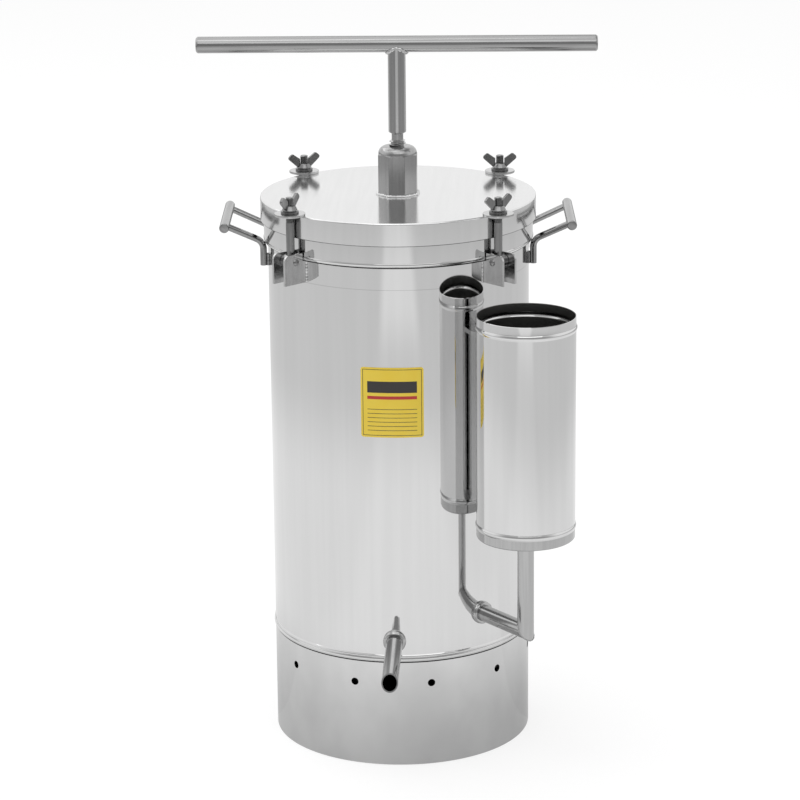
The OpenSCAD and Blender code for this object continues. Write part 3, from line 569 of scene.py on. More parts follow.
def carve(bm, tool, how="DIFFERENCE"):
    # cuts one bmesh with another
    pair = []
    for name, source in (("stock", bm), ("tool", tool)):
        bmesh.ops.recalc_face_normals(source, faces=source.faces)
        mesh = bpy.data.meshes.new(name)
        source.to_mesh(mesh)
        pair.append(bpy.data.objects.new(name, mesh))
        bpy.context.scene.collection.objects.link(pair[-1])
    cut = pair[0].modifiers.new("cut", "BOOLEAN")
    cut.operation = how
    cut.object = pair[1]
    cut.solver = "EXACT"
    result = bpy.data.meshes.new_from_object(pair[0].evaluated_get(bpy.context.evaluated_depsgraph_get()))
    bm.clear()
    bm.from_mesh(result)
    bpy.data.meshes.remove(result)
    for made in pair:
        mesh = made.data
        bpy.data.objects.remove(made)
        bpy.data.meshes.remove(mesh)
    tool.free()


def bead(bm, path, radius, cyclic=True, rippleCount=0, ripple=0.18, sides=4):
    # a weld or a wire along a path
    curve = bpy.data.curves.new("bead", "CURVE")
    curve.dimensions = "3D"
    curve.bevel_depth = radius
    curve.bevel_resolution = sides
    curve.use_fill_caps = not cyclic
    spline = curve.splines.new("POLY")
    spline.points.add(len(path) - 1)
    spline.use_cyclic_u = cyclic
    for count, (point, spot) in enumerate(zip(spline.points, path)):
        point.co = (*spot, 1)
        turn = 2 * pi * count / len(path)
        point.radius = 1 + ripple * (sin(rippleCount * turn) + 0.6 * sin(rippleCount // 3 * turn + 1))
    made = bpy.data.objects.new("bead", curve)
    bpy.context.scene.collection.objects.link(made)
    mesh = bpy.data.meshes.new_from_object(made.evaluated_get(bpy.context.evaluated_depsgraph_get()))
    before = set(bm.verts)
    bm.from_mesh(mesh)
    bpy.data.objects.remove(made)
    bpy.data.curves.remove(curve)
    bpy.data.meshes.remove(mesh)
    return newVerts(bm, before)


def thread(bm, crest, root, pitch, foot, top, steps):
    # a screw thread between two heights, closed at both ends
    before = set(bm.verts)
    turns = int((top - foot) / pitch) + 3
    # one tooth, with heights as shares of the pitch
    outline = [(root, 0), (root, 0.12), (crest, 0.44), (crest, 0.56), (root, 0.88), (root, 1)]
    points = [bm.verts.new((r, 0, foot - pitch + z * pitch)) for r, z in outline]
    edges = [bm.edges.new(pair) for pair in zip(points, points[1:])]
    bmesh.ops.spin(bm, geom=points + edges, cent=(0, 0, 0), axis=(0, 0, 1), angle=2 * pi, steps=steps,
                   dvec=(0, 0, pitch / steps), use_merge=False)
    oneTurn = newVerts(bm, before)
    oneTurn += list({f for v in oneTurn for f in v.link_faces})
    for count in range(1, turns):
        copy = bmesh.ops.duplicate(bm, geom=oneTurn)["geom"]
        bmesh.ops.translate(bm, vec=(0, 0, count * pitch), verts=onlyVerts(copy))
    bmesh.ops.remove_doubles(bm, verts=newVerts(bm, before), dist=mergeWithin)
    for height, side in ((foot, -1), (top, 1)):
        own = set(newVerts(bm, before))
        geom = [g for kind in (bm.verts, bm.edges, bm.faces) for g in kind
                if (g in own if isinstance(g, bmesh.types.BMVert) else g.verts[0] in own)]
        bmesh.ops.bisect_plane(bm, geom=geom, plane_co=(0, 0, height), plane_no=(0, 0, side),
                               clear_outer=True)
    openEdges = [e for e in bm.edges if e.is_boundary and e.verts[0] not in before]
    bmesh.ops.holes_fill(bm, edges=openEdges, sides=0)
    return newVerts(bm, before)


def finishPiece(bm, name, nodes=(), body=None, slot=None, finish=None):
    # makes the object, smooths it up to its sharp edges and hands it to the frame
    bmesh.ops.remove_doubles(bm, verts=bm.verts, dist=mergeWithin)
    bmesh.ops.recalc_face_normals(bm, faces=bm.faces)
    for face in bm.faces:
        face.smooth = True
    for edge in bm.edges:
        edge.smooth = edge.is_manifold and edge.calc_face_angle(0) < radians(smoothBelow)
    mesh = bpy.data.meshes.new(name)
    bm.to_mesh(mesh)
    bm.free()
    slot = slot or slotOf[nodes[0]]
    mesh.materials.append(finishes[finish or slot])
    piece = bpy.data.objects.new(name, mesh)
    bpy.context.scene.collection.objects.link(piece)
    # broad faces keep their own normal, so that long walls reflect straight
    weigh = piece.modifiers.new("weigh", "WEIGHTED_NORMAL")
    weigh.mode = "FACE_AREA_WITH_ANGLE"
    weigh.keep_sharp = True
    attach(piece, body or bodyOf[nodes[0]])
    if nodes:
        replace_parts(piece, *nodes)
    return piece


def fullTurn(steps):
    return [2 * pi * count / steps for count in range(steps)]


def quarterTurn(steps):
    return [pi / 2 * count / steps for count in range(steps + 1)]


def oblong(half, foot, top):
    return [(-half, foot), (half, foot), (half, top), (-half, top)]


def arc(middle, radius, first, last, steps):
    angles = [radians(first + (last - first) * count / steps) for count in range(steps + 1)]
    return [(middle[0] + radius * cos(a), middle[1] + radius * sin(a)) for a in angles]


def swelling(radius, foot, height, proud, steps=10):
    # a half-round rib on an upright wall
    return [(radius + proud * sin(pi * count / steps), foot + height * count / steps)
            for count in range(steps + 1)]


def turned(azimuth):
    return Matrix.Rotation(radians(azimuth), 4, "Z")


def across(middle=(0, 0, 0)):
    # lays a piece that was turned about Z along X
    return Matrix.Translation(middle) @ Matrix.Rotation(pi / 2, 4, "Y")


outward = Matrix.Rotation(pi / 2, 4, "X")  # lays such a piece towards the front, along -Y


# shell, skirt and rim

vessel = dict(sheet=1.2 * mm, bandHeight=4.6 * mm, bandEdge=1.2 * mm, bandProud=0.5 * mm,
              beadHeight=3.9 * mm, beadEdge=0.8 * mm, beadProud=0.7 * mm, steps=288, slip=0.2 * mm,
              ventRadius=4.65 * mm, ventCount=10, ventStep=34.2, ventTurn=-1, ventDrop=29.2 * mm,
              collarWire=3.2 * mm, collarRoll=36, collarReach=163.75 * mm, collarCorner=1 * mm, spare=20 * mm)
vessel["radius"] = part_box("base_skirt")[1].x
vessel["foot"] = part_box("base_skirt")[1].z
vessel["rim"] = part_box("outer_shell")[1].z

spout = dict(slope=radians(7.7), cut=radians(30.6), radius=10 * mm, bore=8.5 * mm, mouthOut=140.8 * mm,
             mouthHeight=163 * mm, inside=2 * mm, length=103 * mm,
             ringRadius=14 * mm, ringProud=5 * mm, ringRidge=1.2 * mm, ringFall=1.4)
spout["wall"] = (vessel["radius"] - spout["mouthOut"]) / cos(spout["slope"])
onSpout = (Matrix.Translation((0, -spout["mouthOut"], spout["mouthHeight"]))
           @ Matrix.Rotation(pi / 2 + spout["slope"], 4, "X"))

filler = dict(azimuth=41, radius=10 * mm, bore=8.5 * mm, feedHeight=185 * mm, inside=4 * mm, sheet=1 * mm,
              beadHeight=7.5 * mm, beadProud=1.3 * mm, beadDrop=13.5 * mm, lip=0.4 * mm, cupSteps=192,
              baseSheet=1.2 * mm, baseCorner=2 * mm, baseFillet=1 * mm, elbowWeld=0.7 * mm, weldSteps=72,
              stayWidth=30 * mm, stayThick=6 * mm, stayInto=12 * mm, staySoft=0.5 * mm)
cupLow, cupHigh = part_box("filler_cup_base")
filler["cupRadius"] = (cupHigh.x - cupLow.x) / 2
filler["axis"] = Vector(((cupHigh.x + cupLow.x) / 2, (cupHigh.y + cupLow.y) / 2, 0))
filler["reach"] = filler["axis"].length
onFiller = turned(filler["azimuth"])
onFeed = onFiller @ Matrix.Translation((0, 0, filler["feedHeight"])) @ outward


def hem(radius, foot):
    # a flat band with a small bead above it
    rows = swelling(radius, foot, vessel["bandHeight"], vessel["bandProud"], 6)
    band = [(r + vessel["bandEdge"], z) for r, z in rows]
    top = foot + vessel["bandHeight"]
    rows = swelling(radius, top, vessel["beadHeight"], vessel["beadProud"], 8)
    return band + [(r + vessel["beadEdge"] * (1 - (z - top) / vessel["beadHeight"]), z) for r, z in rows]


def makeShell():
    radius, foot, rim = vessel["radius"], vessel["foot"], vessel["rim"]
    inner = radius - vessel["sheet"]
    hole, spare = filler["radius"] + vessel["slip"], vessel["spare"]
    bm = bmesh.new()
    outline = [(inner, foot)] + hem(radius, foot) + [(radius, rim), (inner, rim)]
    lathe(bm, outline, vessel["steps"])
    carve(bm, cutter(spout["radius"] + vessel["slip"], spout["wall"] / 2, spout["wall"] * 2, onSpout))
    carve(bm, cutter(hole, inner - spare, radius + spare, onFeed))
    finishPiece(bm, "shell", ["outer_shell"])


def makeSkirt():
    radius, top, spare = vessel["radius"], vessel["foot"], vessel["spare"]
    bm = bmesh.new()
    ring(bm, radius - vessel["sheet"], radius, 0, top, vessel["steps"])
    tool = bmesh.new()
    for count in range(vessel["ventCount"]):
        azimuth = (count - (vessel["ventCount"] - 1) / 2) * vessel["ventStep"] + vessel["ventTurn"]
        onVent = turned(azimuth) @ Matrix.Translation((0, 0, top - vessel["ventDrop"])) @ outward
        cutter(vessel["ventRadius"], radius - spare, radius + spare, onVent, 32, tool)
    carve(bm, tool)
    finishPiece(bm, "skirt", ["base_skirt"])


def makeCollar():
    # a band with a rolled wire bead at its foot
    low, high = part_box("rim_collar")
    wire, band, corner = vessel["collarWire"], vessel["collarReach"], vessel["collarCorner"]
    middle = (high.x - wire, low.z + wire)
    bandIn, rim, sheet = vessel["radius"], high.z, vessel["sheet"]
    bm = bmesh.new()
    outline = [(bandIn, low.z)] + arc(middle, wire, -90, vessel["collarRoll"], 14)
    outline += [(band, rim - corner), (band - 0.3 * corner, rim - 0.3 * corner), (band - corner, rim),
                (bandIn, rim), (bandIn, rim - sheet), (band - sheet, rim - sheet),
                (band - sheet, low.z + 2 * wire), (bandIn, low.z + 2 * wire)]
    lathe(bm, outline, vessel["steps"])
    finishPiece(bm, "collar", ["rim_collar"])


makeShell()
makeSkirt()
makeCollar()
print("shell, skirt and collar made")


# spout and filler

def cutEnd(bm, verts, spot, normal):
    # slices a tube on a plane and closes its wall
    own = set(verts)
    geom = list(own) + [e for e in bm.edges if e.verts[0] in own] + [f for f in bm.faces if f.verts[0] in own]
    made = bmesh.ops.bisect_plane(bm, geom=geom, plane_co=spot, plane_no=normal, clear_outer=True)
    loops = [g for g in made["geom_cut"] if isinstance(g, bmesh.types.BMEdge)]
    bmesh.ops.bridge_loops(bm, edges=loops)


def pipe(bm, shape, foot, top):
    return ring(bm, shape["bore"], shape["radius"], foot, top, 64)


def makeSpout():
    end = spout["wall"] + spout["length"]
    bm = bmesh.new()
    verts = pipe(bm, spout, -spout["inside"], end + 2 * spout["radius"])
    cutEnd(bm, verts, (0, 0, end), (0, sin(spout["cut"]), cos(spout["cut"])))
    move(bm, bm.verts, onSpout)
    finishPiece(bm, "spoutPipe", ["spout_tube"])


def wallRing(name, node, pipeRadius, onAxis, wall):
    # the ring with two ridges where a pipe leaves the shell
    ringRadius, proud, ridge = spout["ringRadius"], spout["ringProud"], spout["ringRidge"]
    inner = pipeRadius + vessel["slip"]
    middle = wall + proud / 2
    bm = bmesh.new()
    outline = [(inner, wall - proud), (ringRadius - ridge, wall - proud)]
    outline += swelling(ringRadius - ridge, wall - ridge, middle - wall + ridge, ridge, 8)
    outline += swelling(ringRadius - spout["ringFall"] * ridge, middle, wall + proud - middle, ridge, 8)
    outline += [(inner, wall + proud)]
    move(bm, lathe(bm, outline, 64), onAxis)
    carve(bm, cutter(vessel["radius"], 0, vessel["rim"], steps=720))
    finishPiece(bm, name, [node], finish="pipe_steel")


def makeCup():
    radius, sheet, lip = filler["cupRadius"], filler["sheet"], filler["lip"]
    low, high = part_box("filler_cup")
    beadFoot = high.z - filler["beadDrop"] - filler["beadHeight"] / 2
    bm = bmesh.new()
    outline = [(radius - sheet, low.z)] + swelling(radius, low.z, filler["beadHeight"], filler["beadProud"])
    outline += swelling(radius, beadFoot, filler["beadHeight"], filler["beadProud"])
    outline += [(radius, high.z - lip), (radius - 0.5 * sheet, high.z), (radius - sheet, high.z - lip)]
    for foot in (beadFoot, low.z):
        outline += reversed(swelling(radius - sheet, foot, filler["beadHeight"], filler["beadProud"]))
    lathe(bm, outline[:-1], filler["cupSteps"])
    move(bm, bm.verts, Matrix.Translation(filler["axis"]))
    finishPiece(bm, "fillerCup", ["filler_cup"], finish="polished_cup")


def makeCupBase():
    radius, sheet, floor = filler["cupRadius"], filler["sheet"], filler["baseSheet"]
    corner, fillet = filler["baseCorner"], filler["baseFillet"]
    hole = filler["radius"] + vessel["slip"]
    low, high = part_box("filler_cup_base")
    bm = bmesh.new()
    outline = [(hole, low.z), (radius - corner, low.z)]
    outline += arc((radius - corner, low.z + corner), corner, -90, 0, 5)
    outline += [(radius, high.z), (radius - sheet, high.z), (radius - sheet, low.z + floor + fillet),
                (radius - sheet - fillet, low.z + floor), (hole, low.z + floor)]
    lathe(bm, outline, filler["cupSteps"])
    move(bm, bm.verts, Matrix.Translation(filler["axis"]))
    finishPiece(bm, "fillerCupBase", ["filler_cup_base"])


def makeFillerPipes():
    # two lengths mitred into an elbow; both are drawn in the filler's own plane
    reach, height, radius = filler["reach"], filler["feedHeight"], filler["radius"]
    elbow = Vector((0, -reach, height))
    inner = vessel["radius"] - vessel["sheet"] - filler["inside"]
    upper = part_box("filler_riser")[1].z
    upright, level = Matrix.Translation((0, -reach, 0)), Matrix.Translation((0, 0, height)) @ outward
    for name, node, foot, top, onAxis, mitre in (
            ("fillerRiser", "filler_riser", height - 2 * radius, upper, upright, (0, 1, -1)),
            ("fillerFeed", "filler_feed", inner, reach + 2 * radius, level, (0, -1, 1))):
        bm = bmesh.new()
        move(bm, pipe(bm, filler, foot, top), onAxis)
        cutEnd(bm, bm.verts, elbow, mitre)
        move(bm, bm.verts, onFiller)
        finishPiece(bm, name, [node])
    bm = bmesh.new()
    tilt = [elbow + Vector((radius * cos(a), 0, 0)) + Vector((0, 1, 1)) * radius * sin(a)
            for a in fullTurn(filler["weldSteps"])]
    bead(bm, tilt, filler["elbowWeld"], rippleCount=18)
    move(bm, bm.verts, onFiller)
    finishPiece(bm, "elbowWeld", body="boiler", slot="pipe_steel")


def makeStay():
    low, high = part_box("filler_stay")
    middle = (low.z + high.z) / 2
    near, far = vessel["radius"], filler["reach"] - filler["cupRadius"]
    bm = bmesh.new()
    half, thick = filler["stayWidth"] / 2, filler["stayThick"]
    verts = plate(bm, oblong(half, middle - thick / 2, middle + thick / 2), far - near + filler["stayInto"])
    move(bm, verts, Matrix.Translation((0, -(near + far) / 2, 0)))
    carve(bm, cutter(near, 0, vessel["rim"], steps=720))
    onCup = Matrix.Translation((0, -filler["reach"], 0))
    carve(bm, cutter(filler["cupRadius"], 0, vessel["rim"], onCup, 360))
    soften(bm, filler["staySoft"], 2, bm.verts, 60)
    move(bm, bm.verts, onFiller)
    finishPiece(bm, "fillerStay", ["filler_stay"])


makeSpout()
wallRing("spoutRing", "spout_collar", spout["radius"], onSpout, spout["wall"])
wallRing("feedRing", "filler_collar", filler["radius"], onFeed, vessel["radius"])
makeCup()
makeCupBase()
makeFillerPipes()
makeStay()
print("spout and filler made")


# label

def makeLabel():
    low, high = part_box("label_plate")
    radius = -low.y
    half = radius * atan2(high.x, -high.y)
    bm = bmesh.new()
    corners = [bm.verts.new((x, 0, z)) for x, z in oblong(half, low.z, high.z)]
    bm.faces.new(corners)
    bmesh.ops.bevel(bm, geom=corners, offset=labelPrint["corner"], segments=labelPrint["cornerSteps"],
                    profile=0.5, affect="VERTICES", material=-1)
    cuts = labelPrint["cuts"]
    for count in range(1, cuts):
        spot = (half * (2 * count / cuts - 1), 0, 0)
        geom = bm.verts[:] + bm.edges[:] + bm.faces[:]
        bmesh.ops.bisect_plane(bm, geom=geom, plane_co=spot, plane_no=(1, 0, 0))
    extrude(bm, bm.faces[:], (0, labelPrint["thick"], 0))
    for vert in bm.verts:
        reach, angle = radius - vert.co.y, vert.co.x / radius
        vert.co.x, vert.co.y = reach * sin(angle), -reach * cos(angle)
    finishPiece(bm, "label", ["label_plate"])


makeLabel()
print("label made")


# side handles

handle = dict(gripRadius=6 * mm, gripSoft=1.4 * mm, wireRadius=3.75 * mm, wireInset=16 * mm, wireDraw=8 * mm,
              bend=14 * mm, cornerDrop=22 * mm, leg=29 * mm, legReach=166 * mm, turn=3, back=11.5 * mm,
              out=209 * mm, gripLength=130 * mm, weldHeight=14 * mm, bendSteps=10, intoGrip=0.8,
              weldRadius=2 * mm, weldProud=1.6 * mm, weldSteps=10, plugRadius=2.2 * mm, plugInto=0.4 * mm)


def makeHandle(side, name):
    low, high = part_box("handle_grip_" + name)
    height = (low.z + high.z) / 2
    length, out, back = handle["gripLength"], handle["out"], handle["back"]
    bm = bmesh.new()
    rod(bm, handle["gripRadius"], -length / 2, length / 2, 48, handle["gripSoft"], 4)
    move(bm, bm.verts, turned(handle["turn"]) @ Matrix.Translation((side * out, back, height)) @ outward)
    finishPiece(bm, "grip_" + name, ["handle_grip_" + name])
    corner = height - handle["cornerDrop"]
    legFoot, bend, steps = corner - handle["leg"], handle["bend"], handle["weldSteps"]
    wires, welds = bmesh.new(), bmesh.new()
    for end in (-1, 1):
        gripY = back + end * (length / 2 - handle["wireInset"])
        legY = gripY - end * handle["wireDraw"]
        legX = side * sqrt(handle["legReach"] ** 2 - legY ** 2)
        run = Vector((side * out - legX, gripY - legY, 0))
        reach = run.length
        bendAngle = 90 - atan2(handle["cornerDrop"], reach) * 180 / pi
        setback = bend * tan(radians(bendAngle) / 2)
        slope = Vector((reach, handle["cornerDrop"])).normalized() * handle["gripRadius"] * handle["intoGrip"]
        flat = [(0, legFoot)]
        flat += arc((bend, corner - setback), bend, 180, 180 - bendAngle, handle["bendSteps"])
        flat += [(reach - slope.x, height - slope.y)]
        path = [Vector((legX, legY, z)) + run.normalized() * r for r, z in flat]
        bead(wires, path, handle["wireRadius"], cyclic=False, sides=6)
        # two weld runs hold the leg to the shell
        radial = Vector((legX, legY, 0)).normalized()
        aside = Vector((-radial.y, radial.x, 0))
        for edge in (-1, 1):
            foot = radial * (vessel["radius"] + handle["weldProud"]) + aside * edge * handle["weldRadius"]
            seam = [foot + Vector((0, 0, legFoot + handle["weldHeight"] * count / steps))
                    for count in range(steps + 1)]
            bead(welds, seam, handle["weldRadius"], cyclic=False, rippleCount=4, ripple=0.05)
        # and a plug fills the gap behind it
        gap = handle["legReach"] - vessel["radius"]
        plug = [radial * (vessel["radius"] - handle["plugInto"] + gap * count)
                + Vector((0, 0, legFoot + handle["weldHeight"] / 2)) for count in (0, 1)]
        bead(welds, plug, handle["plugRadius"], cyclic=False)
    for bm in (wires, welds):
        move(bm, bm.verts, turned(handle["turn"]))
    finishPiece(wires, "wires_" + name, ["handle_wires_" + name])
    finishPiece(welds, "wireWelds_" + name, body="boiler", slot="handle_steel")


makeHandle(-1, "left")
makeHandle(1, "right")
print("handles made")


# clamps

clamp = dict(
    corners=("front_left", "front_right", "back_right", "back_left"), firstAzimuth=-44,
    rodReach=173.5 * mm, rodRadius=5 * mm, rodRoot=4.2 * mm, rodSoft=0.5 * mm, rodEnd=0.6 * mm,
    pitch=1.25 * mm, threadLength=30 * mm, threadSteps=28, runGap=0.05 * mm,
    pinReach=175 * mm, pinHeight=625 * mm, pinRadius=3 * mm, headRadius=4.2 * mm, headHeight=2 * mm,
    eyeRadius=8 * mm, eyeWidth=16.4 * mm, eyeSoft=0.8 * mm, wallInto=0.6 * mm,
    gap=17 * mm, cheek=3 * mm, cheekOut=17.5 * mm, cheekUp=10 * mm, cheekDown=26.5 * mm, cheekRound=7 * mm,
    cheekSoft=0.35 * mm, weldRadius=1.3 * mm, weldProud=0.2 * mm, weldShort=1 * mm, weldSteps=20,
    webHeight=16 * mm, webSoft=0.3 * mm, notchReach=164.8 * mm, notchFoot=625.6 * mm,
    discHole=5.3 * mm, discSoft=0.5 * mm, washerSoft=0.6 * mm,
    hubFoot=9.25 * mm, hubTop=7.25 * mm, hubHeight=6.5 * mm, hubRound=0.8 * mm,
    hubGroove=1.3 * mm, grooveHeight=0.8 * mm, grooveTop=1.5 * mm,
    span=44 * mm, wingHeight=20 * mm, wingWidth=9 * mm, wingThick=3.4 * mm, wingRoot=4.5 * mm,
    wingFoot=1 * mm, wingInto=0.6 * mm, wingSeat=8 * mm, wingSoft=0.5 * mm, tipRound=3 * mm,
    wingTurns=(65, 44, 4, 28),
)


def clampAt(count):
    return turned(clamp["firstAzimuth"] + 90 * count)


def makeBrackets():
    pinZ, pinR, cheek, gap = (clamp[key] for key in ("pinHeight", "pinReach", "cheek", "gap"))
    outer, top, foot = pinR + clamp["cheekOut"], pinZ + clamp["cheekUp"], pinZ - clamp["cheekDown"]
    into, weldShort, weldSteps = clamp["wallInto"], clamp["weldShort"], clamp["weldSteps"]
    notchReach, notchFoot = clamp["notchReach"], clamp["notchFoot"]
    wall = vessel["radius"] - into
    corner = clamp["cheekRound"]
    outline = [(wall, foot), (outer, foot)]
    outline += arc((outer - corner, top - corner), corner, 0, 90, 6)
    outline += [(notchReach, top), (notchReach, notchFoot), (wall, notchFoot)]
    brackets, pins, welds = bmesh.new(), bmesh.new(), bmesh.new()
    for count in range(4):
        for side in (-1, 1):
            middle = side * (gap + cheek) / 2
            verts = plate(brackets, outline, cheek, clamp["cheekSoft"])
            move(brackets, verts, clampAt(count) @ Matrix.Translation((middle, 0, 0)) @ turned(-90))
            seam = [Vector((middle + side * cheek / 2, -vessel["radius"] - clamp["weldProud"],
                            foot + weldShort + (notchFoot - foot - 2 * weldShort) * step / weldSteps))
                    for step in range(weldSteps + 1)]
            verts = bead(welds, seam, clamp["weldRadius"], cyclic=False, rippleCount=7)
            move(welds, verts, clampAt(count))
        web = oblong(gap / 2, foot, foot + clamp["webHeight"])
        verts = plate(brackets, web, cheek + into, clamp["webSoft"])
        move(brackets, verts, clampAt(count) @ Matrix.Translation((0, -wall - (cheek + into) / 2, 0)))
        half = gap / 2 + cheek
        dome = [(0, half + clamp["headHeight"])]
        dome += [(clamp["headRadius"] * sin(a), half + clamp["headHeight"] * cos(a))
                 for a in quarterTurn(6)[1:]]
        rivet = dome + [(clamp["pinRadius"], half), (clamp["pinRadius"], -half)]
        rivet += [(r, -z) for r, z in reversed(dome)]
        verts = lathe(pins, rivet, 32, closed=False)
        move(pins, verts, clampAt(count) @ across((0, -pinR, pinZ)))
    finishPiece(brackets, "brackets", ["clamp_brackets"], finish="bracket_steel")
    finishPiece(pins, "pins", ["clamp_pins"])
    finishPiece(welds, "bracketWelds", body="boiler", slot="clamp_steel", finish="weld_steel")


def makeClamp(count, name):
    spot = clampAt(count) @ Matrix.Translation((0, -clamp["rodReach"], 0))
    root, soft = clamp["rodRoot"], clamp["rodSoft"]
    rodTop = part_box("swing_bolt_" + name)[1].z
    endFoot, threadFoot = rodTop - clamp["rodEnd"], rodTop - clamp["threadLength"]
    bm = bmesh.new()
    rod(bm, clamp["rodRadius"], clamp["pinHeight"], threadFoot, 32, soft)
    thread(bm, clamp["rodRadius"], root, clamp["pitch"], threadFoot - soft, rodTop - soft,
           clamp["threadSteps"])
    lathe(bm, [(0, endFoot), (root, endFoot), (root - soft, rodTop), (0, rodTop)], clamp["threadSteps"],
          closed=False)
    move(bm, bm.verts, spot)
    half = clamp["eyeWidth"] / 2
    verts = ring(bm, clamp["pinRadius"] + clamp["runGap"], clamp["eyeRadius"], -half, half, 48,
                 clamp["eyeSoft"], 3)
    move(bm, verts, clampAt(count) @ across((0, -clamp["pinReach"], clamp["pinHeight"])))
    finishPiece(bm, "swingBolt_" + name, ["swing_bolt_" + name])
    for piece, node, steps, soft in (("clampDisc_", "clamp_disc_", 72, clamp["discSoft"]),
                                     ("nutWasher_", "nut_washer_", 48, clamp["washerSoft"])):
        low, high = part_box(node + name)
        bm = bmesh.new()
        ring(bm, clamp["discHole"], (high - low).x / 2, low.z, high.z, steps, soft)
        move(bm, bm.verts, spot)
        finishPiece(bm, piece + name, [node + name])
    makeWingNut(count, name, high.z)


def wingTip(tip, height, step, lean):
    # the rounded outer end of a wing
    along, sideways = Vector((sin(lean), cos(lean))), step.normalized()
    low, high = Vector((tip, height + 2 * step.y)), Vector((tip - 2 * step.x, height))
    turns = [(1 - sin(a), 1 - cos(a)) for a in quarterTurn(5)]
    points = [low - (along * far + sideways * near) * clamp["tipRound"] for far, near in turns]
    points += [high - (along * far - sideways * near) * clamp["tipRound"] for far, near in reversed(turns)]
    return [tuple(point) for point in points]


def makeWingNut(count, name, foot):
    tip, height = clamp["span"] / 2, clamp["wingHeight"]
    lean = atan2(tip - clamp["wingRoot"], height)
    step = Vector((cos(lean), -sin(lean))) * clamp["wingWidth"] / 2
    bm = bmesh.new()
    hole = clamp["rodRadius"] + clamp["runGap"]
    hubFoot, hubTop, hubHeight, edge = (clamp["hub" + part] for part in ("Foot", "Top", "Height", "Round"))
    groove, wingFoot = hubFoot - clamp["hubGroove"], clamp["wingFoot"]
    lathe(bm, [(hole, 0), (groove, 0), (groove, clamp["grooveHeight"]), (hubFoot, clamp["grooveTop"]),
               (hubTop, hubHeight - edge), (hubTop - edge, hubHeight), (hole, hubHeight)], 40)
    inner = hole + clamp["wingInto"]
    innerSeat = clamp["wingSeat"] + (height - clamp["wingSeat"]) * inner / (tip - 2 * step.x)
    for side in (-1, 1):
        ear = [(inner, wingFoot), (clamp["wingRoot"] + step.x, wingFoot)] + wingTip(tip, height, step, lean)
        ear += [(inner, innerSeat)]
        verts = plate(bm, ear, clamp["wingThick"], clamp["wingSoft"])
        if side < 0:
            move(bm, verts, Matrix.Rotation(pi, 4, "Z"))
    turn = turned(clamp["wingTurns"][count] - clamp["firstAzimuth"] - 90 * count)
    move(bm, bm.verts, clampAt(count) @ Matrix.Translation((0, -clamp["rodReach"], foot)) @ turn)
    finishPiece(bm, "wingNut_" + name, ["wing_nut_" + name])


makeBrackets()
for cornerCount, cornerName in enumerate(clamp["corners"]):
    makeClamp(cornerCount, cornerName)
print("clamps made")


# lid and press

lid = dict(edge=2 * mm, sheet=1.2 * mm, thick=1.5 * mm, hole=11 * mm, burr=0.3 * mm, steps=288)
press = dict(
    nutFlats=46.5 * mm, nutSides=8, nutSoft=0.7 * mm, roundHeight=9 * mm, roundIn=9 * mm, lead=1.5 * mm,
    weldOut=0.6 * mm, weldUp=0.5 * mm, weldRadius=2.1 * mm, weldSteps=240, spare=1 * mm, runGap=0.05 * mm,
    screwRadius=10 * mm, rootRadius=8 * mm, pitch=4 * mm, shoulder=336.5 * mm, threadTop=746 * mm,
    pivotRadius=7 * mm, pivotSoft=0.5 * mm, neckRadius=7 * mm,
    stemFlats=21 * mm, stemSoft=1.3 * mm, stemShort=4.5 * mm, taper=3 * mm,
    barRadius=10 * mm, barLength=482 * mm, barRound=3 * mm, barTurn=2,
    barWeld=2.7 * mm, barWeldOut=0.8 * mm, barWeldSteps=120, saddle=8.9 * mm,
)


def flatBar(bm, flats, sides, foot, top):
    # an upright bar with flats, two of which face left and right
    before = set(bm.verts)
    corner = flats / 2 / cos(pi / sides)
    angles = [pi / sides * (2 * count + 1) for count in range(sides)]
    face = bm.faces.new([bm.verts.new((corner * cos(a), corner * sin(a), foot)) for a in angles])
    extrude(bm, [face], (0, 0, top - foot))
    return newVerts(bm, before)


def makeLid():
    low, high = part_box("lid")
    radius, edge = high.x, lid["edge"]
    under = high.z - lid["thick"]
    bm = bmesh.new()
    outline = [(lid["hole"], under), (radius - lid["sheet"], under), (radius - lid["sheet"], low.z),
               (radius - lid["burr"], low.z), (radius, low.z + lid["burr"])]
    outline += arc((radius - edge, high.z - edge), edge, 0, 90, 8) + [(lid["hole"], high.z)]
    lathe(bm, outline, lid["steps"])
    finishPiece(bm, "lidSheet", ["lid"])


def makePressNut():
    low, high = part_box("press_nut")
    flat = press["nutFlats"] / 2
    step = pi / press["nutSides"]
    corner, spare = flat / cos(step), press["spare"]
    bm = bmesh.new()
    flatBar(bm, press["nutFlats"], press["nutSides"], low.z, high.z)
    soften(bm, press["nutSoft"], 3, bm.verts)
    tool = bmesh.new()
    foot = high.z - press["roundHeight"]
    leadFoot, under, clear = foot - press["lead"], low.z - spare, corner + spare
    outline = [(0, under), (clear, under), (clear, leadFoot), (corner, leadFoot)]
    outline += [(flat - press["roundIn"] * (1 - cos(a)), foot + press["roundHeight"] * sin(a))
                for a in quarterTurn(12)]
    outline += [(0, high.z)]
    lathe(tool, outline, 120, closed=False)
    carve(bm, tool, "INTERSECT")
    carve(bm, cutter(press["screwRadius"] + press["runGap"], under, high.z + spare))
    finishPiece(bm, "pressNut", ["press_nut"])
    # the weld follows the flats
    bm = bmesh.new()
    loop = []
    for a in fullTurn(press["weldSteps"]):
        reach = flat / cos((a + step) % (2 * step) - step) + press["weldOut"]
        loop.append(Vector((cos(a) * reach, sin(a) * reach, low.z + press["weldUp"])))
    bead(bm, loop, press["weldRadius"], rippleCount=40, ripple=0.2, sides=5)
    carve(bm, cutter(2 * corner, low.z - vessel["spare"], low.z))
    finishPiece(bm, "nutWeld", body="lid", slot="press_steel", finish="weld_steel")


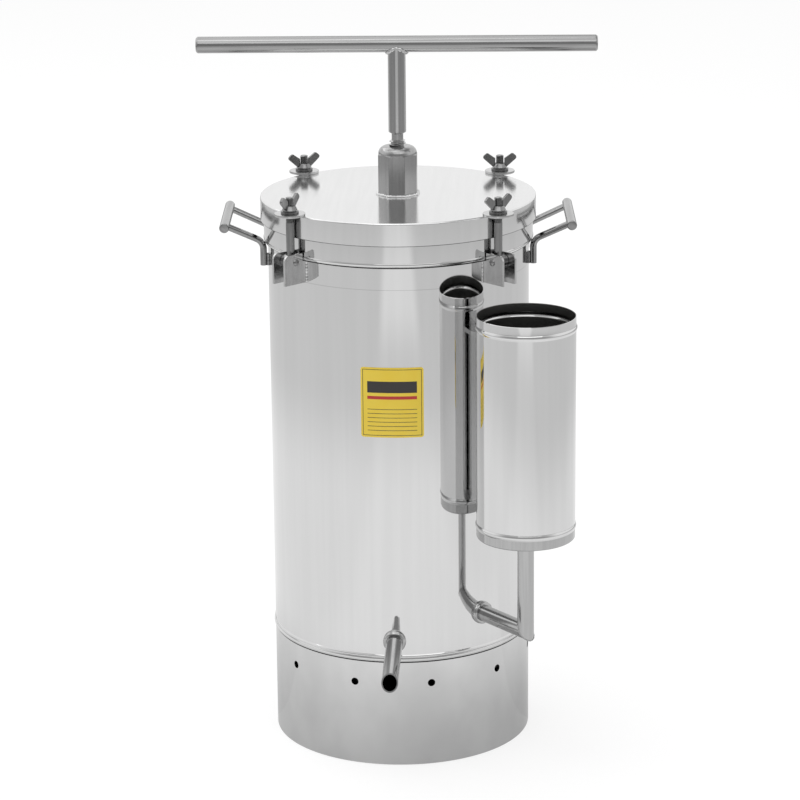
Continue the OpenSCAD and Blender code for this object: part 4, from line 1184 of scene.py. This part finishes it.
def makeScrew():
    low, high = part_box("press_screw")
    shoulder, threadTop, spare = press["shoulder"], press["threadTop"], press["spare"]
    bm = bmesh.new()
    rod(bm, press["pivotRadius"], low.z, shoulder + spare, 48, press["pivotSoft"])
    thread(bm, press["screwRadius"], press["rootRadius"], press["pitch"], shoulder, threadTop, 48)
    rod(bm, press["neckRadius"], threadTop - spare, high.z, 48)
    finishPiece(bm, "pressScrew", ["press_screw"], finish="thread_steel")


def makeStem():
    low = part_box("handle_stem")[0].z
    barLow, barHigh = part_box("handle_bar")
    barZ = (barLow.z + barHigh.z) / 2
    corner = press["stemFlats"] / sqrt(3)
    bm = bmesh.new()
    flatBar(bm, press["stemFlats"], 6, low, barZ - press["stemShort"])
    soften(bm, press["stemSoft"], 4, bm.verts)
    tool = bmesh.new()
    outline = [(0, low), (press["neckRadius"], low), (corner, low + press["taper"]), (corner, barZ),
               (0, barZ)]
    lathe(tool, outline, 96, closed=False)
    carve(bm, tool, "INTERSECT")
    half = press["barLength"] / 2
    carve(bm, cutter(press["barRadius"], -half, half, across((0, 0, barZ)), 96))
    move(bm, bm.verts, turned(press["barTurn"]))
    finishPiece(bm, "stem", ["handle_stem"], finish="stem_steel")
    bm = bmesh.new()
    rod(bm, press["barRadius"], -half, half, 96, press["barRound"], 6)
    move(bm, bm.verts, turned(press["barTurn"]) @ across((0, 0, barZ)))
    finishPiece(bm, "bar", ["handle_bar"], finish="bar_steel")
    # the weld follows the saddle where the stem meets the bar
    bm = bmesh.new()
    loop = []
    for a in fullTurn(press["barWeldSteps"]):
        side = press["saddle"] * sin(a)
        drop = sqrt(press["barRadius"] ** 2 - side ** 2)
        loop.append(Vector(((press["stemFlats"] / 2 + press["barWeldOut"]) * cos(a), side, barZ - drop)))
    bead(bm, loop, press["barWeld"], rippleCount=15, ripple=0.1, sides=5)
    move(bm, bm.verts, turned(press["barTurn"]))
    finishPiece(bm, "barWeld", body="press_screw", slot="press_steel", finish="disc_steel")


makeLid()
makePressNut()
makeScrew()
makeStem()
print("lid and press made")


# the rest keeps its own shape, with its round faces smoothed

def smoothCopy(node):
    bm = bmesh.new()
    bm.from_mesh(frame["nodes"][node].data)
    finishPiece(bm, node + "_smooth", [node])


replaced = {name for piece in bpy.data.objects if "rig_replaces" in piece for name in piece["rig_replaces"]}
for nodeName in frame["nodes"]:
    if not frame["nodes"][nodeName].hide_render and nodeName not in replaced:
        smoothCopy(nodeName)
print("inner pieces made")
